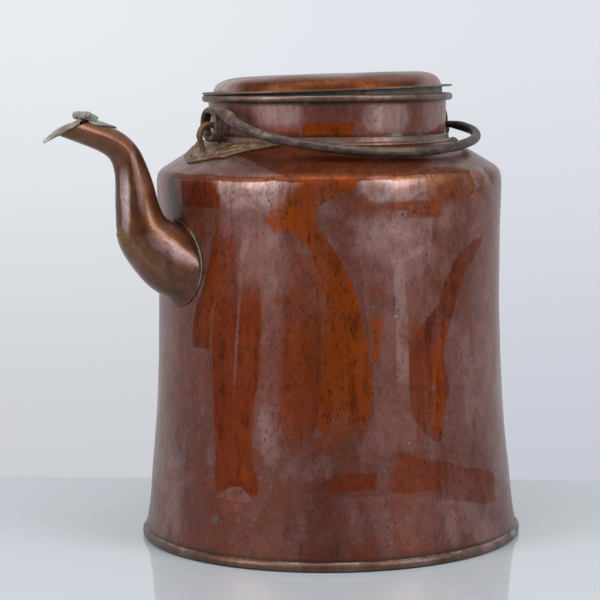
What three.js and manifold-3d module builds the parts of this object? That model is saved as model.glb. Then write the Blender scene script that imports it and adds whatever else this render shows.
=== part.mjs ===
// Lidded copper kettle with a swan-neck spout, a hinged spout flap and a swinging iron bail.
// Millimetres, +Z up. The origin is the centre of the flat base and the spout points along -X.
import * as THREE from "three";
import { mergeVertices } from "three/addons/utils/BufferGeometryUtils.js";
import Module from "manifold-3d";

const wasm = await Module();
wasm.setup();

// Driving dimensions: the vessel, all radii from its upright axis
const ROUND_SEGMENTS = 48;
const JOINT_GAP = 0.3;
const SHEET = 1.5;
const BASE_RADIUS = 140;
const BASE_SEAM_HEIGHT = 6.9;
const WALL_FOOT_RADIUS = 137.2;
const WALL_WAIST_RADIUS = 125.4;
const WALL_TOP = 255.7;
const SHOULDER_RADIUS = 126.2;
const SHOULDER_FOOT = 256;
const NECK_RADIUS = 86.3;
const NECK_SHEET = 1.2;
const NECK_FOOT = 291.9;
const NECK_TOP = 323.1;
const RIM_RADIUS = 91.45;
const RIM_BOTTOM = 318.1;
const RIM_TOP = 323.4;
const BASE_PLATE_SHEET = 1.8;
const SPOUT_HOLE_RADIUS = 21;

// Driving dimensions: the lid, which sits a little cocked on the rim
const LID_RADIUS = 91.3;
const LID_FLANGE = 1;
const LID_DOME_RADIUS = 83.2;
const LID_DOME_HEIGHT = 12.4;
const LID_PLUG_RADIUS = 84;
const LID_PLUG_DEPTH = 15;
const LID_TILT = THREE.MathUtils.degToRad(1.4);
const LID_TILT_AXIS = new THREE.Vector3(-0.5, -0.866, 0).normalize();

// Driving dimensions: the spout, whose middle plane is y = 0
const SPOUT_SHEET = 1.4;
const SPOUT_SEAM_CENTRE = 206.5;
const SPOUT_SEAM_HALF_WIDTH = 33;
const SPOUT_SEAM_HALF_HEIGHT = 31.5;
const SPOUT_FLANGE_WIDTH = 4.2;
const SPOUT_FLANGE_FACE = 1.5;
const SPOUT_FOOT_GAP = 1.8;
const SPOUT_BREAK = new THREE.Vector2(-150, 232.2);
const SPOUT_BREAK_TILT = THREE.MathUtils.degToRad(-13);
const SPOUT_RINGS = 22;
const SPOUT_SIDES = 18;
const MOUTH_HEEL = new THREE.Vector2(-195.2, 307.2);
const MOUTH_LIP = new THREE.Vector2(-214.8, 298.4);

// Driving dimensions: the spout flap and its hinge, whose pin lies along Y
const HINGE = new THREE.Vector2(-195.2, 311.2);
const KNUCKLE_RADIUS = 2.9;
const KNUCKLE_BORE = 1.5;
const KNUCKLE_HALF_WIDTH = 3.3;
const KNUCKLE_GAP = 0.35;
const HINGE_HALF_WIDTH = 10.2;
const PIN_HEAD_RADIUS = 2.2;
const PIN_HEAD_HEIGHT = 1;
const LEAF_HALF_WIDTH = 7.4;
const STRAP_SHEET = 0.9;
const FLAP_SHEET = 1.1;
const FLAP_HALF_WIDTH = 8.4;

// Driving dimensions: the ears on the shoulder and the bail that swings in them
const EAR_SHEET = 1.2;
const EAR_GAP = 0.35;
const EAR_INNER_RADIUS = 90.8;
const EAR_NOTCH_RADIUS = 86.9;
const EAR_NOTCH_HALF_WIDTH = 6.8;
const RING_NOTCH_HALF_WIDTH = 7.4;
const RIVET_SHANK = 1.6;
const RIVET_HOLE = 2;
const STAPLE_HOLE = 2.6;
const RIVET_HEAD = 3.1;
const RIVET_HEAD_HEIGHT = 2;
const RIVET_TAIL = 2.2;
const STAPLE_WIRE = 2.2;
const STAPLE_INNER = 89;
const STAPLE_OUTER = 105.3;
const STAPLE_CROWN = 302.9;
const STAPLE_LEG_END = 6;
const STAPLE_PEEN = 0.5;
const BAIL_AXIS_HEIGHT = 302.9;
const BAIL_EYE_X = 95.2;
const BAIL_EYE_RADIUS = 10.3;
const BAIL_STRAP_HALF_THICKNESS = 2.1;
const BAIL_STRAP_HALF_WIDTH = 3.5;
const BAIL_ROD_RADIUS = 3.4;
const BAIL_EYE_EDGE = 0.8;

// Finishes, as three.js shows them
const finishes = {
  copper: { color: 0x7a4230, roughness: 0.38, metalness: 0.7 },
  iron: { color: 0x4a3d38, roughness: 0.6, metalness: 0.6 },
  bronze: { color: 0x8a7a5c, roughness: 0.62, metalness: 0.55 },
  tinned: { color: 0xa6a596, roughness: 0.5, metalness: 0.6 },
};

// A closed three.js geometry as a solid that can be joined and cut
function solid(geometry) {
  const bare = geometry.clone();
  bare.deleteAttribute("normal");
  bare.deleteAttribute("uv");
  const merged = mergeVertices(bare, 1e-4);
  const made = new wasm.Manifold(
    new wasm.Mesh({
      numProp: 3,
      vertProperties: new Float32Array(merged.attributes.position.array),
      triVerts: new Uint32Array(merged.index.array),
    }),
  );
  if (made.volume() < 0) throw new Error("a profile runs the wrong way round");
  return made;
}

function geometryOf(body) {
  const mesh = body.getMesh();
  const geometry = new THREE.BufferGeometry();
  geometry.setAttribute("position", new THREE.BufferAttribute(mesh.vertProperties, 3));
  geometry.setIndex(new THREE.BufferAttribute(mesh.triVerts, 1));
  geometry.computeVertexNormals();
  return geometry;
}

// A ring or disc turned about the Z axis from [radius, height] points, counter-clockwise
function turned(points, segments = ROUND_SEGMENTS) {
  const profile = [...points, points[0]].map(([r, z]) => new THREE.Vector2(r, z));
  return new THREE.LatheGeometry(profile, segments).rotateX(Math.PI / 2);
}

// A smooth row of [radius, height] points through a few given ones
function smooth(points, steps) {
  const curve = new THREE.SplineCurve(points.map(([r, z]) => new THREE.Vector2(r, z)));
  return curve.getPoints(steps).map((p) => [p.x, p.y]);
}

// The same row moved to its left by a distance, for the other face of a sheet
function offset(row, distance) {
  return row.map(([r, z], i) => {
    const before = row[Math.max(i - 1, 0)];
    const after = row[Math.min(i + 1, row.length - 1)];
    const along = new THREE.Vector2(after[0] - before[0], after[1] - before[1]).normalize();
    return [r - along.y * distance, z + along.x * distance];
  });
}

// A sheet between two offsets of an outer row that runs upwards or inwards
function sheet(outerRow, inner, outer) {
  return turned([...offset(outerRow, -outer), ...offset(outerRow, inner).reverse()]);
}

// A closed skin through rings of points, with flat ends
function loft(rings) {
  const sides = rings[0].length;
  const points = rings.flat();
  const faces = [];
  for (let i = 0; i + 1 < rings.length; i++) {
    for (let j = 0; j < sides; j++) {
      const a = i * sides + j;
      const b = i * sides + ((j + 1) % sides);
      faces.push(a, b, b + sides, a, b + sides, a + sides);
    }
  }
  const last = (rings.length - 1) * sides;
  for (let j = 1; j + 1 < sides; j++) {
    faces.push(0, j + 1, j, last, last + j, last + j + 1);
  }
  return new THREE.BufferGeometry().setFromPoints(points).setIndex(faces);
}

// An oval section swept along a curve, carried without twist. size(t) gives its half sizes,
// first along the side vector and then across it.
function sweep(curve, side, steps, sides, size) {
  const rings = [];
  const across = side.clone();
  for (let i = 0; i <= steps; i++) {
    const t = i / steps;
    const centre = curve.getPoint(t);
    const along = curve.getTangent(t);
    across.addScaledVector(along, -across.dot(along)).normalize();
    const up = new THREE.Vector3().crossVectors(along, across);
    const [wide, high] = size(t);
    const ring = [];
    for (let j = 0; j < sides; j++) {
      const angle = (2 * Math.PI * (j + 0.5)) / sides;
      const point = centre.clone();
      point.addScaledVector(across, wide * Math.cos(angle));
      point.addScaledVector(up, high * Math.sin(angle));
      ring.push(point);
    }
    rings.push(ring);
  }
  return loft(rings);
}

// A plain upright prism over an outline in the XY plane
function prism(outline, bottom, top) {
  const shape = new THREE.ExtrudeGeometry(outline, {
    depth: top - bottom,
    bevelEnabled: false,
    curveSegments: 6,
  });
  return shape.translate(0, 0, bottom);
}

function block(low, high) {
  const size = high.map((value, i) => value - low[i]);
  const centre = high.map((value, i) => (value + low[i]) / 2);
  return new THREE.BoxGeometry(...size).translate(...centre);
}

function upright(radius, bottom, top, x, y, segments = 16) {
  return new THREE.CylinderGeometry(radius, radius, top - bottom, segments)
    .rotateX(Math.PI / 2)
    .translate(x, y, (bottom + top) / 2);
}

// Everything above the plane of the spout's mouth, as a tall slab
function aboveMouth() {
  const slope = Math.atan2(MOUTH_HEEL.y - MOUTH_LIP.y, MOUTH_HEEL.x - MOUTH_LIP.x);
  return new THREE.BoxGeometry(120, 60, 60)
    .translate(0, 0, 30)
    .rotateY(-slope)
    .translate(MOUTH_HEEL.x, 0, MOUTH_HEEL.y);
}

// Vessel profiles, from the photographed outline
const wallRow = smooth(
  [
    [WALL_FOOT_RADIUS, BASE_SEAM_HEIGHT + JOINT_GAP],
    [135.1, 20],
    [132.3, 48],
    [129.2, 80],
    [126.9, 116],
    [WALL_WAIST_RADIUS, 168],
    [125.7, 220],
    [SHOULDER_RADIUS, WALL_TOP],
  ],
  5,
);
const shoulderRow = [
  [SHOULDER_RADIUS, SHOULDER_FOOT],
  [SHOULDER_RADIUS, 261.4],
  [125.4, 265.6],
  [123.2, 269],
  [118, 272.8],
  [90, 289.1],
  [NECK_RADIUS - NECK_SHEET, 291.6],
];

// The whole vessel's outside, swollen by a distance, as one plug to cut with
function vesselPlug(swell) {
  const row = offset(wallRow, -swell);
  return solid(turned([[0, row[0][1]], ...row, [0, row[row.length - 1][1]]]));
}

function bodyWall() {
  const spoutHole = new THREE.CylinderGeometry(SPOUT_HOLE_RADIUS, SPOUT_HOLE_RADIUS, 40, 24)
    .rotateZ(Math.PI / 2)
    .translate(-WALL_WAIST_RADIUS, 0, SPOUT_SEAM_CENTRE);
  return solid(sheet(wallRow, SHEET, 0)).subtract(solid(spoutHole));
}

// Flat disc with its edge folded up into a round bead, which the wall stands in
function basePlate() {
  return solid(
    turned([
      [0, 0],
      [BASE_RADIUS - 2.4, 0],
      [BASE_RADIUS - 0.7, 0.9],
      [BASE_RADIUS, 2.8],
      [BASE_RADIUS - 0.2, 4.9],
      [BASE_RADIUS - 1.4, 6.4],
      [BASE_RADIUS - 3.2, BASE_SEAM_HEIGHT],
      [BASE_RADIUS - 5.2, BASE_SEAM_HEIGHT - 0.4],
      [BASE_RADIUS - 6, 5],
      [BASE_RADIUS - 6.4, BASE_PLATE_SHEET],
      [0, BASE_PLATE_SHEET],
    ]),
  );
}

// Places round each ear, as [distance from the axis, angle] with the ear's own middle at 0
const earRivets = [
  [111.3, 0],
  [93.4, 24],
  [93.4, -24],
];

function earPoint(sideSign, [distance, degrees]) {
  const angle = THREE.MathUtils.degToRad(degrees);
  return new THREE.Vector2(sideSign * distance * Math.cos(angle), distance * Math.sin(angle));
}

// Height and outward slope of the shoulder's outer face at a distance from the axis
function onShoulder(distance) {
  for (let i = 0; i + 1 < shoulderRow.length; i++) {
    const [r0, z0] = shoulderRow[i];
    const [r1, z1] = shoulderRow[i + 1];
    if (distance <= r0 && distance >= r1) {
      const height = z0 + ((z1 - z0) * (r0 - distance)) / (r0 - r1);
      return { height, slope: Math.atan2(z1 - z0, r0 - r1) };
    }
  }
  throw new Error("off the shoulder");
}

// Holes for the rivets and the staple legs, through the plate and the shoulder alike
function drillEar(body, sideSign) {
  let drilled = body;
  for (const spot of earRivets) {
    const { height, slope } = onShoulder(spot[0]);
    const at = earPoint(sideSign, spot);
    const hole = new THREE.CylinderGeometry(RIVET_HOLE, RIVET_HOLE, 14, 8).rotateX(Math.PI / 2);
    hole.rotateY(slope).rotateZ(Math.atan2(at.y, at.x)).translate(at.x, at.y, height);
    drilled = drilled.subtract(solid(hole));
  }
  for (const distance of [STAPLE_INNER, STAPLE_OUTER]) {
    drilled = drilled.subtract(
      solid(upright(STAPLE_HOLE, 250, 315, sideSign * distance, 0, 10)),
    );
  }
  return drilled;
}

function shoulder() {
  const plain = solid(sheet(shoulderRow, SHEET, 0));
  return drillEar(drillEar(plain, -1), 1);
}

function neckCollar() {
  const flare = NECK_RADIUS + 0.6;
  return solid(
    turned([
      [NECK_RADIUS, NECK_FOOT],
      [NECK_RADIUS, 300],
      [flare, NECK_TOP],
      [flare - NECK_SHEET, NECK_TOP],
      [NECK_RADIUS - NECK_SHEET, 300],
      [NECK_RADIUS - NECK_SHEET, NECK_FOOT],
    ]),
  );
}

// Stepped ring soldered round the joint of neck and shoulder, cut away where the ears sit
function neckFootRing() {
  const inner = NECK_RADIUS + JOINT_GAP;
  let ring = solid(
    turned([
      [inner, onShoulder(inner).height + 0.4],
      [90.3, onShoulder(90).height + 0.2],
      [90.2, 289.9],
      [88.6, 291],
      [88.2, 293.2],
      [87.7, 294.2],
      [inner, 294.3],
    ]),
  );
  for (const side of [-1, 1]) {
    const low = Math.min(side * 80, side * 95);
    ring = ring.subtract(
      solid(block([low, -RING_NOTCH_HALF_WIDTH, 280], [low + 15, RING_NOTCH_HALF_WIDTH, 300])),
    );
  }
  return ring.decompose();
}

// Wired edge rolled outwards round the mouth
function rimBead() {
  const inner = NECK_RADIUS + 0.6 + JOINT_GAP;
  return solid(
    turned([
      [inner, RIM_BOTTOM + 0.4],
      [inner + 1.2, RIM_BOTTOM],
      [RIM_RADIUS - 1.6, RIM_BOTTOM + 0.2],
      [RIM_RADIUS - 0.3, RIM_BOTTOM + 1.3],
      [RIM_RADIUS, RIM_BOTTOM + 2.7],
      [RIM_RADIUS - 0.7, RIM_TOP - 0.8],
      [inner, RIM_TOP],
    ]),
  );
}

// Lid, in its own frame: z = 0 is the underside of the flange
function lidPan() {
  const domeRow = [
    [LID_DOME_RADIUS, LID_FLANGE],
    [82.6, 4.4],
    [80.6, 7.6],
    [76.8, 10.1],
    [70, 11.7],
    [0.001, LID_DOME_HEIGHT],
  ];
  const under = offset(domeRow, SHEET).reverse();
  under[0] = [0, LID_DOME_HEIGHT - SHEET];
  return solid(
    turned([
      [0, LID_DOME_HEIGHT - SHEET],
      ...under.slice(1, -1),
      [LID_DOME_RADIUS - SHEET, 0],
      [LID_RADIUS - 0.4, 0],
      [LID_RADIUS, 0.4],
      [LID_RADIUS - 0.2, LID_FLANGE + 0.3],
      [LID_RADIUS - 1.6, LID_FLANGE],
      ...domeRow.slice(0, -1),
      [0, LID_DOME_HEIGHT],
    ]),
  );
}

// Short sleeve under the flange that plugs the neck
function lidPlug() {
  return solid(
    turned([
      [LID_PLUG_RADIUS - 1.2, -LID_PLUG_DEPTH],
      [LID_PLUG_RADIUS - 0.2, -LID_PLUG_DEPTH],
      [LID_PLUG_RADIUS, -JOINT_GAP],
      [LID_PLUG_RADIUS - 1.2, -JOINT_GAP],
    ]),
  );
}

// Spout centre line with, at each station, its half size in the middle plane and across it
const spoutStations = [
  [-104, 190.4, 25.5, 30],
  [-118, 201.4, 24.4, 31],
  [-128, 206.8, 23.2, 30],
  [-136, 213.8, 22.6, 26.4],
  [-143, 220.2, 21.3, 23.4],
  [-148.6, 226.9, 19.8, 20.8],
  [-152, 234, 18, 18.4],
  [-154.1, 242.5, 16.2, 16.2],
  [-155.4, 250, 15, 15],
  [-156.4, 258, 14, 14],
  [-157.8, 266.5, 12.7, 12.7],
  [-160.2, 275.5, 11.5, 11.5],
  [-163.6, 283, 10.8, 10.8],
  [-169, 289.2, 10.2, 10.4],
  [-176.8, 294, 9.8, 10.2],
  [-186, 297.6, 9.3, 10],
  [-197, 301.3, 8.9, 9.6],
  [-209, 305.2, 8.4, 9],
  [-219, 308.2, 7.9, 8.4],
];
const spoutLine = new THREE.CatmullRomCurve3(
  spoutStations.map(([x, z]) => new THREE.Vector3(x, 0, z)),
);
const spoutGirth = new THREE.CatmullRomCurve3(
  spoutStations.map(([, , deep, wide]) => new THREE.Vector3(deep, wide, 0)),
);

// The spout's whole tube, fattened by a distance
function spoutTube(extra) {
  const across = new THREE.Vector3(0, 1, 0);
  return solid(
    sweep(spoutLine, across, SPOUT_RINGS, SPOUT_SIDES, (t) => {
      const girth = spoutGirth.getPoint(t);
      return [girth.y + extra, girth.x + extra];
    }),
  );
}

// Slab under the seam between the spout's bulb and its upper tube, lowered by a distance
function belowSeam(drop) {
  return new THREE.BoxGeometry(140, 120, 120)
    .translate(0, 0, -60 - drop)
    .rotateY(SPOUT_BREAK_TILT)
    .translate(SPOUT_BREAK.x, 0, SPOUT_BREAK.y);
}

const spoutOutside = spoutTube(0);
const spoutInside = spoutTube(-SPOUT_SHEET);

function spoutBulb() {
  const wall = spoutOutside.subtract(spoutInside).subtract(vesselPlug(SPOUT_FOOT_GAP));
  return wall.intersect(solid(belowSeam(JOINT_GAP)));
}

function spoutNeck() {
  const wall = spoutOutside.subtract(spoutInside).subtract(vesselPlug(SPOUT_FOOT_GAP));
  return wall.subtract(solid(belowSeam(0))).subtract(solid(aboveMouth()));
}

// Thin oval flange that laps on the wall round the spout's foot
function spoutFlange() {
  const oval = (grow) => {
    const shape = new THREE.Shape();
    const wide = SPOUT_SEAM_HALF_WIDTH + grow;
    const high = SPOUT_SEAM_HALF_HEIGHT + grow;
    shape.absellipse(0, 0, wide, high, 0, 2 * Math.PI, false, 0);
    return solid(
      new THREE.ExtrudeGeometry(shape, { depth: 60, bevelEnabled: false, curveSegments: 32 })
        .rotateX(Math.PI / 2)
        .rotateZ(-Math.PI / 2)
        .translate(-100, 0, SPOUT_SEAM_CENTRE),
    );
  };
  return oval(0)
    .subtract(oval(-SPOUT_FLANGE_WIDTH))
    .intersect(vesselPlug(SPOUT_FLANGE_FACE))
    .subtract(vesselPlug(JOINT_GAP));
}

// Barrel of the flap's hinge between two distances along the pin
function barrel(radius, from, to, segments = 14) {
  return new THREE.CylinderGeometry(radius, radius, to - from, segments).translate(
    HINGE.x,
    (from + to) / 2,
    HINGE.y,
  );
}

// Saddle leaf on the spout's back, rising into the two outer knuckles of the hinge
function hingeStrap() {
  const leaf = new THREE.Shape();
  leaf.moveTo(-193.6, -7.6);
  leaf.bezierCurveTo(-184, -9, -176, -5, -169.4, 0);
  leaf.bezierCurveTo(-176, 5, -184, 9, -193.6, 7.6);
  leaf.closePath();
  const riser = new THREE.Shape();
  riser.moveTo(-195.2, 313.8);
  riser.quadraticCurveTo(-190, 313.2, -186, 309.6);
  riser.lineTo(-188, 307);
  riser.lineTo(-195.2, 308.7);
  riser.closePath();
  const knuckleStart = KNUCKLE_HALF_WIDTH + KNUCKLE_GAP;
  const notch = block([-200, -knuckleStart, 300], [-189.6, knuckleStart, 325]);
  let strap = spoutTube(STRAP_SHEET + JOINT_GAP)
    .intersect(solid(prism(leaf, 296, 325)))
    .subtract(solid(aboveMouth().translate(0.6, 0, 0.6)));
  for (const side of [-1, 1]) {
    const nearest = side > 0 ? knuckleStart : -LEAF_HALF_WIDTH;
    const rise = new THREE.ExtrudeGeometry(riser, {
      depth: LEAF_HALF_WIDTH - knuckleStart,
      bevelEnabled: false,
      curveSegments: 3,
    });
    rise.rotateX(Math.PI / 2).translate(0, nearest + LEAF_HALF_WIDTH - knuckleStart, 0);
    const ends = side > 0 ? [knuckleStart, HINGE_HALF_WIDTH] : [-HINGE_HALF_WIDTH, -knuckleStart];
    strap = strap.add(solid(rise)).add(solid(barrel(KNUCKLE_RADIUS, ...ends)));
  }
  return strap
    .subtract(spoutTube(JOINT_GAP))
    .subtract(solid(notch))
    .subtract(solid(barrel(KNUCKLE_BORE, -20, 20, 12)));
}

// Leaf-shaped cover of the spout's mouth, hanging from the middle knuckle
function spoutFlap() {
  const middle = new THREE.CatmullRomCurve3(
    [
      [-196.6, 308.9],
      [-200, 307.1],
      [-206, 305],
      [-212, 302.2],
      [-217.8, 298.7],
      [-223.9, 294.3],
    ].map(([x, z]) => new THREE.Vector3(x, 0, z)),
  );
  const leaf = sweep(middle, new THREE.Vector3(0, 1, 0), 14, 8, (t) => {
    const swell = Math.sin(Math.PI * Math.min(1, 0.16 + 0.42 * t ** 0.62 + 0.44 * t ** 1.7));
    const wide = t < 0.1 ? KNUCKLE_HALF_WIDTH - 0.4 : FLAP_HALF_WIDTH * swell + 0.5;
    return [wide, FLAP_SHEET / 2];
  });
  const knuckle = barrel(KNUCKLE_RADIUS, -KNUCKLE_HALF_WIDTH, KNUCKLE_HALF_WIDTH);
  return solid(leaf)
    .add(solid(knuckle))
    .subtract(solid(barrel(KNUCKLE_BORE, -20, 20, 12)));
}

function flapPin() {
  const head = HINGE_HALF_WIDTH + JOINT_GAP;
  return solid(
    turned(
      [
        [0, -head - PIN_HEAD_HEIGHT],
        [PIN_HEAD_RADIUS - 0.5, 0.2 - head - PIN_HEAD_HEIGHT],
        [PIN_HEAD_RADIUS, -head],
        [KNUCKLE_BORE - JOINT_GAP, -head],
        [KNUCKLE_BORE - JOINT_GAP, head],
        [PIN_HEAD_RADIUS, head],
        [PIN_HEAD_RADIUS - 0.5, head + PIN_HEAD_HEIGHT - 0.2],
        [0, head + PIN_HEAD_HEIGHT],
      ],
      12,
    )
      .rotateX(Math.PI / 2)
      .translate(HINGE.x, 0, HINGE.y),
  );
}

// Half of the ear plate's outer edge, from its drawn-out middle to its tip
const earEdge = [
  [113.5, 5.1],
  [109.2, 11],
  [105.9, 17.4],
  [99, 23.5],
  [95.4, 30.3],
  [91.3, 39],
];

// Points round the inner edge of the ear plate, between two angles
function earInnerArc(from, to) {
  const steps = 5;
  return Array.from({ length: steps + 1 }, (_, i) =>
    earPoint(1, [EAR_INNER_RADIUS, from + ((to - from) * i) / steps]),
  );
}

// Crescent plate that hugs the neck, its middle drawn out to a point over the shoulder
function earPlate(sideSign) {
  const half = earEdge.map((spot) => earPoint(1, spot));
  const mirrored = [...half].reverse().map((p) => new THREE.Vector2(p.x, -p.y));
  const edge = new THREE.SplineCurve([...mirrored, earPoint(1, [115.8, 0]), ...half]);
  const outline = new THREE.Shape([
    ...edge.getPoints(22),
    ...earInnerArc(38.5, 4.4),
    new THREE.Vector2(EAR_NOTCH_RADIUS, EAR_NOTCH_HALF_WIDTH),
    new THREE.Vector2(EAR_NOTCH_RADIUS, -EAR_NOTCH_HALF_WIDTH),
    ...earInnerArc(-4.4, -38.5),
  ]);
  const shape = prism(outline, 262, 300);
  if (sideSign < 0) shape.rotateZ(Math.PI);
  const skin = solid(sheet(shoulderRow, -EAR_GAP, EAR_GAP + EAR_SHEET));
  return drillEar(skin.intersect(solid(shape)), sideSign);
}

// Wire arch in the XZ plane, its legs through the plate and the shoulder
function earStaple(sideSign) {
  const middle = (sideSign * (STAPLE_INNER + STAPLE_OUTER)) / 2;
  const radius = (STAPLE_OUTER - STAPLE_INNER) / 2;
  const springing = STAPLE_CROWN - radius;
  const path = new THREE.CurvePath();
  const foot = (distance) => onShoulder(distance).height - STAPLE_LEG_END;
  const left = middle - radius;
  const right = middle + radius;
  const at = (x, z) => new THREE.Vector3(x, 0, z);
  path.add(new THREE.LineCurve3(at(left, foot(Math.abs(left))), at(left, springing)));
  const arch = [];
  for (let i = 0; i <= 8; i++) {
    const angle = Math.PI * (1 - i / 8);
    arch.push(at(middle + radius * Math.cos(angle), springing + radius * Math.sin(angle)));
  }
  path.add(new THREE.CatmullRomCurve3(arch));
  path.add(new THREE.LineCurve3(at(right, springing), at(right, foot(Math.abs(right)))));
  const wire = sweep(path, new THREE.Vector3(0, 1, 0), 16, 8, () => [STAPLE_WIRE, STAPLE_WIRE]);
  let staple = solid(wire);
  for (const x of [left, right]) {
    const end = foot(Math.abs(x));
    const disc = upright(STAPLE_WIRE + STAPLE_PEEN, end - 0.4, end + 1.1, x, 0, 8);
    staple = staple.add(solid(disc));
  }
  return staple;
}

// Round-headed rivet, set square to the shoulder, with its tail spread inside
function rivet(sideSign, spot) {
  const { height, slope } = onShoulder(spot[0]);
  const at = earPoint(sideSign, spot);
  const face = EAR_GAP + EAR_SHEET + JOINT_GAP;
  const tail = -SHEET - JOINT_GAP;
  return solid(
    turned(
      [
        [0, tail - 1.1],
        [RIVET_TAIL - 0.2, tail - 0.9],
        [RIVET_TAIL, tail],
        [RIVET_SHANK, tail],
        [RIVET_SHANK, face],
        [RIVET_HEAD, face],
        [RIVET_HEAD * 0.87, face + RIVET_HEAD_HEIGHT * 0.55],
        [RIVET_HEAD * 0.45, face + RIVET_HEAD_HEIGHT * 0.9],
        [0, face + RIVET_HEAD_HEIGHT],
      ],
      8,
    )
      .rotateY(slope)
      .rotateZ(Math.atan2(at.y, at.x))
      .translate(at.x, at.y, height),
  );
}

// Bail lying folded on the camera side. Its left end passes over the eye, its right end meets it.
const bailLine = new THREE.CatmullRomCurve3(
  [
    [-BAIL_EYE_X, 1, BAIL_AXIS_HEIGHT + BAIL_EYE_RADIUS],
    [-95.5, -9, 312.8],
    [-96, -27, 308.4],
    [-95.6, -42, 303],
    [-94, -58, 298.9],
    [-86.5, -73, 294.6],
    [-65.8, -86.2, 289.8],
    [-38.4, -101, 285.6],
    [-11.7, -108.3, 284],
    [13.3, -108.3, 284.1],
    [42, -100.2, 285.9],
    [68, -84.6, 288.8],
    [89.4, -61.4, 292],
    [101.4, -36, 296],
    [100.8, -20, 298.6],
    [96.6, -11.6, 299.6],
    [BAIL_EYE_X, -8.8, 299.8],
  ].map((p) => new THREE.Vector3(...p)),
);

function bail() {
  const flattened = (t) => {
    const fromEnd = Math.min(t / 0.2, (1 - t) / 0.16, 1);
    const ease = fromEnd * fromEnd * (3 - 2 * fromEnd);
    return [
      THREE.MathUtils.lerp(BAIL_STRAP_HALF_WIDTH, BAIL_ROD_RADIUS, ease),
      THREE.MathUtils.lerp(BAIL_STRAP_HALF_THICKNESS, BAIL_ROD_RADIUS, ease),
    ];
  };
  let made = solid(sweep(bailLine, new THREE.Vector3(1, 0, 0), 36, 8, flattened));
  for (const side of [-1, 1]) {
    const wide = BAIL_STRAP_HALF_WIDTH;
    const low = BAIL_EYE_RADIUS - BAIL_STRAP_HALF_THICKNESS;
    const high = BAIL_EYE_RADIUS + BAIL_STRAP_HALF_THICKNESS;
    const eye = turned(
      [
        [low, BAIL_EYE_EDGE - wide],
        [low + BAIL_EYE_EDGE, -wide],
        [high - BAIL_EYE_EDGE, -wide],
        [high, BAIL_EYE_EDGE - wide],
        [high, wide - BAIL_EYE_EDGE],
        [high - BAIL_EYE_EDGE, wide],
        [low + BAIL_EYE_EDGE, wide],
        [low, wide - BAIL_EYE_EDGE],
      ],
      20,
    );
    eye.rotateY(Math.PI / 2).translate(side * BAIL_EYE_X, 0, BAIL_AXIS_HEIGHT);
    made = made.add(solid(eye));
  }
  return made;
}

// The assembly
const kettle = new THREE.Group();

function place(group, name, body, finish) {
  const mesh = new THREE.Mesh(geometryOf(body), new THREE.MeshStandardMaterial(finishes[finish]));
  mesh.name = name;
  group.add(mesh);
}

place(kettle, "base_plate", basePlate(), "copper");
place(kettle, "body_wall", bodyWall(), "copper");
place(kettle, "shoulder", shoulder(), "copper");
place(kettle, "neck_collar", neckCollar(), "copper");
const [ringFront, ringBack] = neckFootRing();
place(kettle, "neck_foot_ring_front", ringFront, "copper");
place(kettle, "neck_foot_ring_back", ringBack, "copper");
place(kettle, "rim_bead", rimBead(), "copper");

const lid = new THREE.Group();
lid.position.z = RIM_TOP + JOINT_GAP + LID_RADIUS * Math.sin(LID_TILT);
lid.quaternion.setFromAxisAngle(LID_TILT_AXIS, LID_TILT);
place(lid, "lid_pan", lidPan(), "copper");
place(lid, "lid_plug", lidPlug(), "copper");
kettle.add(lid);

place(kettle, "spout_bulb", spoutBulb(), "copper");
place(kettle, "spout_neck", spoutNeck(), "copper");
place(kettle, "spout_flange", spoutFlange(), "copper");
place(kettle, "hinge_strap", hingeStrap(), "tinned");
place(kettle, "spout_flap", spoutFlap(), "tinned");
place(kettle, "flap_pin", flapPin(), "tinned");

for (const [side, sideSign] of [["left", -1], ["right", 1]]) {
  place(kettle, `ear_plate_${side}`, earPlate(sideSign), "bronze");
  place(kettle, `ear_staple_${side}`, earStaple(sideSign), "iron");
  earRivets.forEach((spot, i) => {
    place(kettle, `ear_rivet_${side}_${i + 1}`, rivet(sideSign, spot), "bronze");
  });
}
place(kettle, "bail", bail(), "iron");

export default kettle;
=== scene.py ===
"""A large lidded copper kettle with a swan-neck spout and a folded iron bail.

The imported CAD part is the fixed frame. Its visible pieces are made again here with finer forms,
dents and seams, and every surface gets its own finish. Lengths are in millimetres where nothing
else is said, and Bench turns them into Blender's metres.
"""

import logging
import math
from collections.abc import Callable, Sequence
from dataclasses import dataclass, field
from enum import Enum

import bmesh
import bpy
from mathutils import Matrix, Vector


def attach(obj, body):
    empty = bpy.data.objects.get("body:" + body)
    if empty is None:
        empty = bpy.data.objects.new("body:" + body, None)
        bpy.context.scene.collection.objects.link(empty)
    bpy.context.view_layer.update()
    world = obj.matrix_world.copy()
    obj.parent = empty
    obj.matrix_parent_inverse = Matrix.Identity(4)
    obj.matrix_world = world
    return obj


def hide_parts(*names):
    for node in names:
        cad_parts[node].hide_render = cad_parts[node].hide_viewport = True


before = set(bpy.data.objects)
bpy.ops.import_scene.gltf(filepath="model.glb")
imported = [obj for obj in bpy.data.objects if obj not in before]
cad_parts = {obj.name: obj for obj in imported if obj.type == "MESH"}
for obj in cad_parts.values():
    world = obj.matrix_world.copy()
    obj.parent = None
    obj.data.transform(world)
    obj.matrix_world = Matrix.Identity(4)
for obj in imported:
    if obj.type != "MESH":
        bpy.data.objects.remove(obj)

MM = 0.001
ROUND = 208  # steps of a full turn on the lathe
WELD = 0.01 * MM  # points nearer than this are one
SHARP_EDGE = math.radians(38)  # a fold sharper than this stays a crisp edge
SPOUT_ROOT = 206.5  # how high the spout meets the wall
FOOT_TOP, RING_TOP, RIM_FOOT = 7.0, 294.3, 318.5  # how high the seams run
EYE_AXIS = 302.9  # how high the bail turns
SHOULDER_EDGE = (118, 272.8)  # radius and height where the shoulder's cone begins

Colour = tuple[float, float, float]
Point = Sequence[float]
Number = "float | Value"

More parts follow.
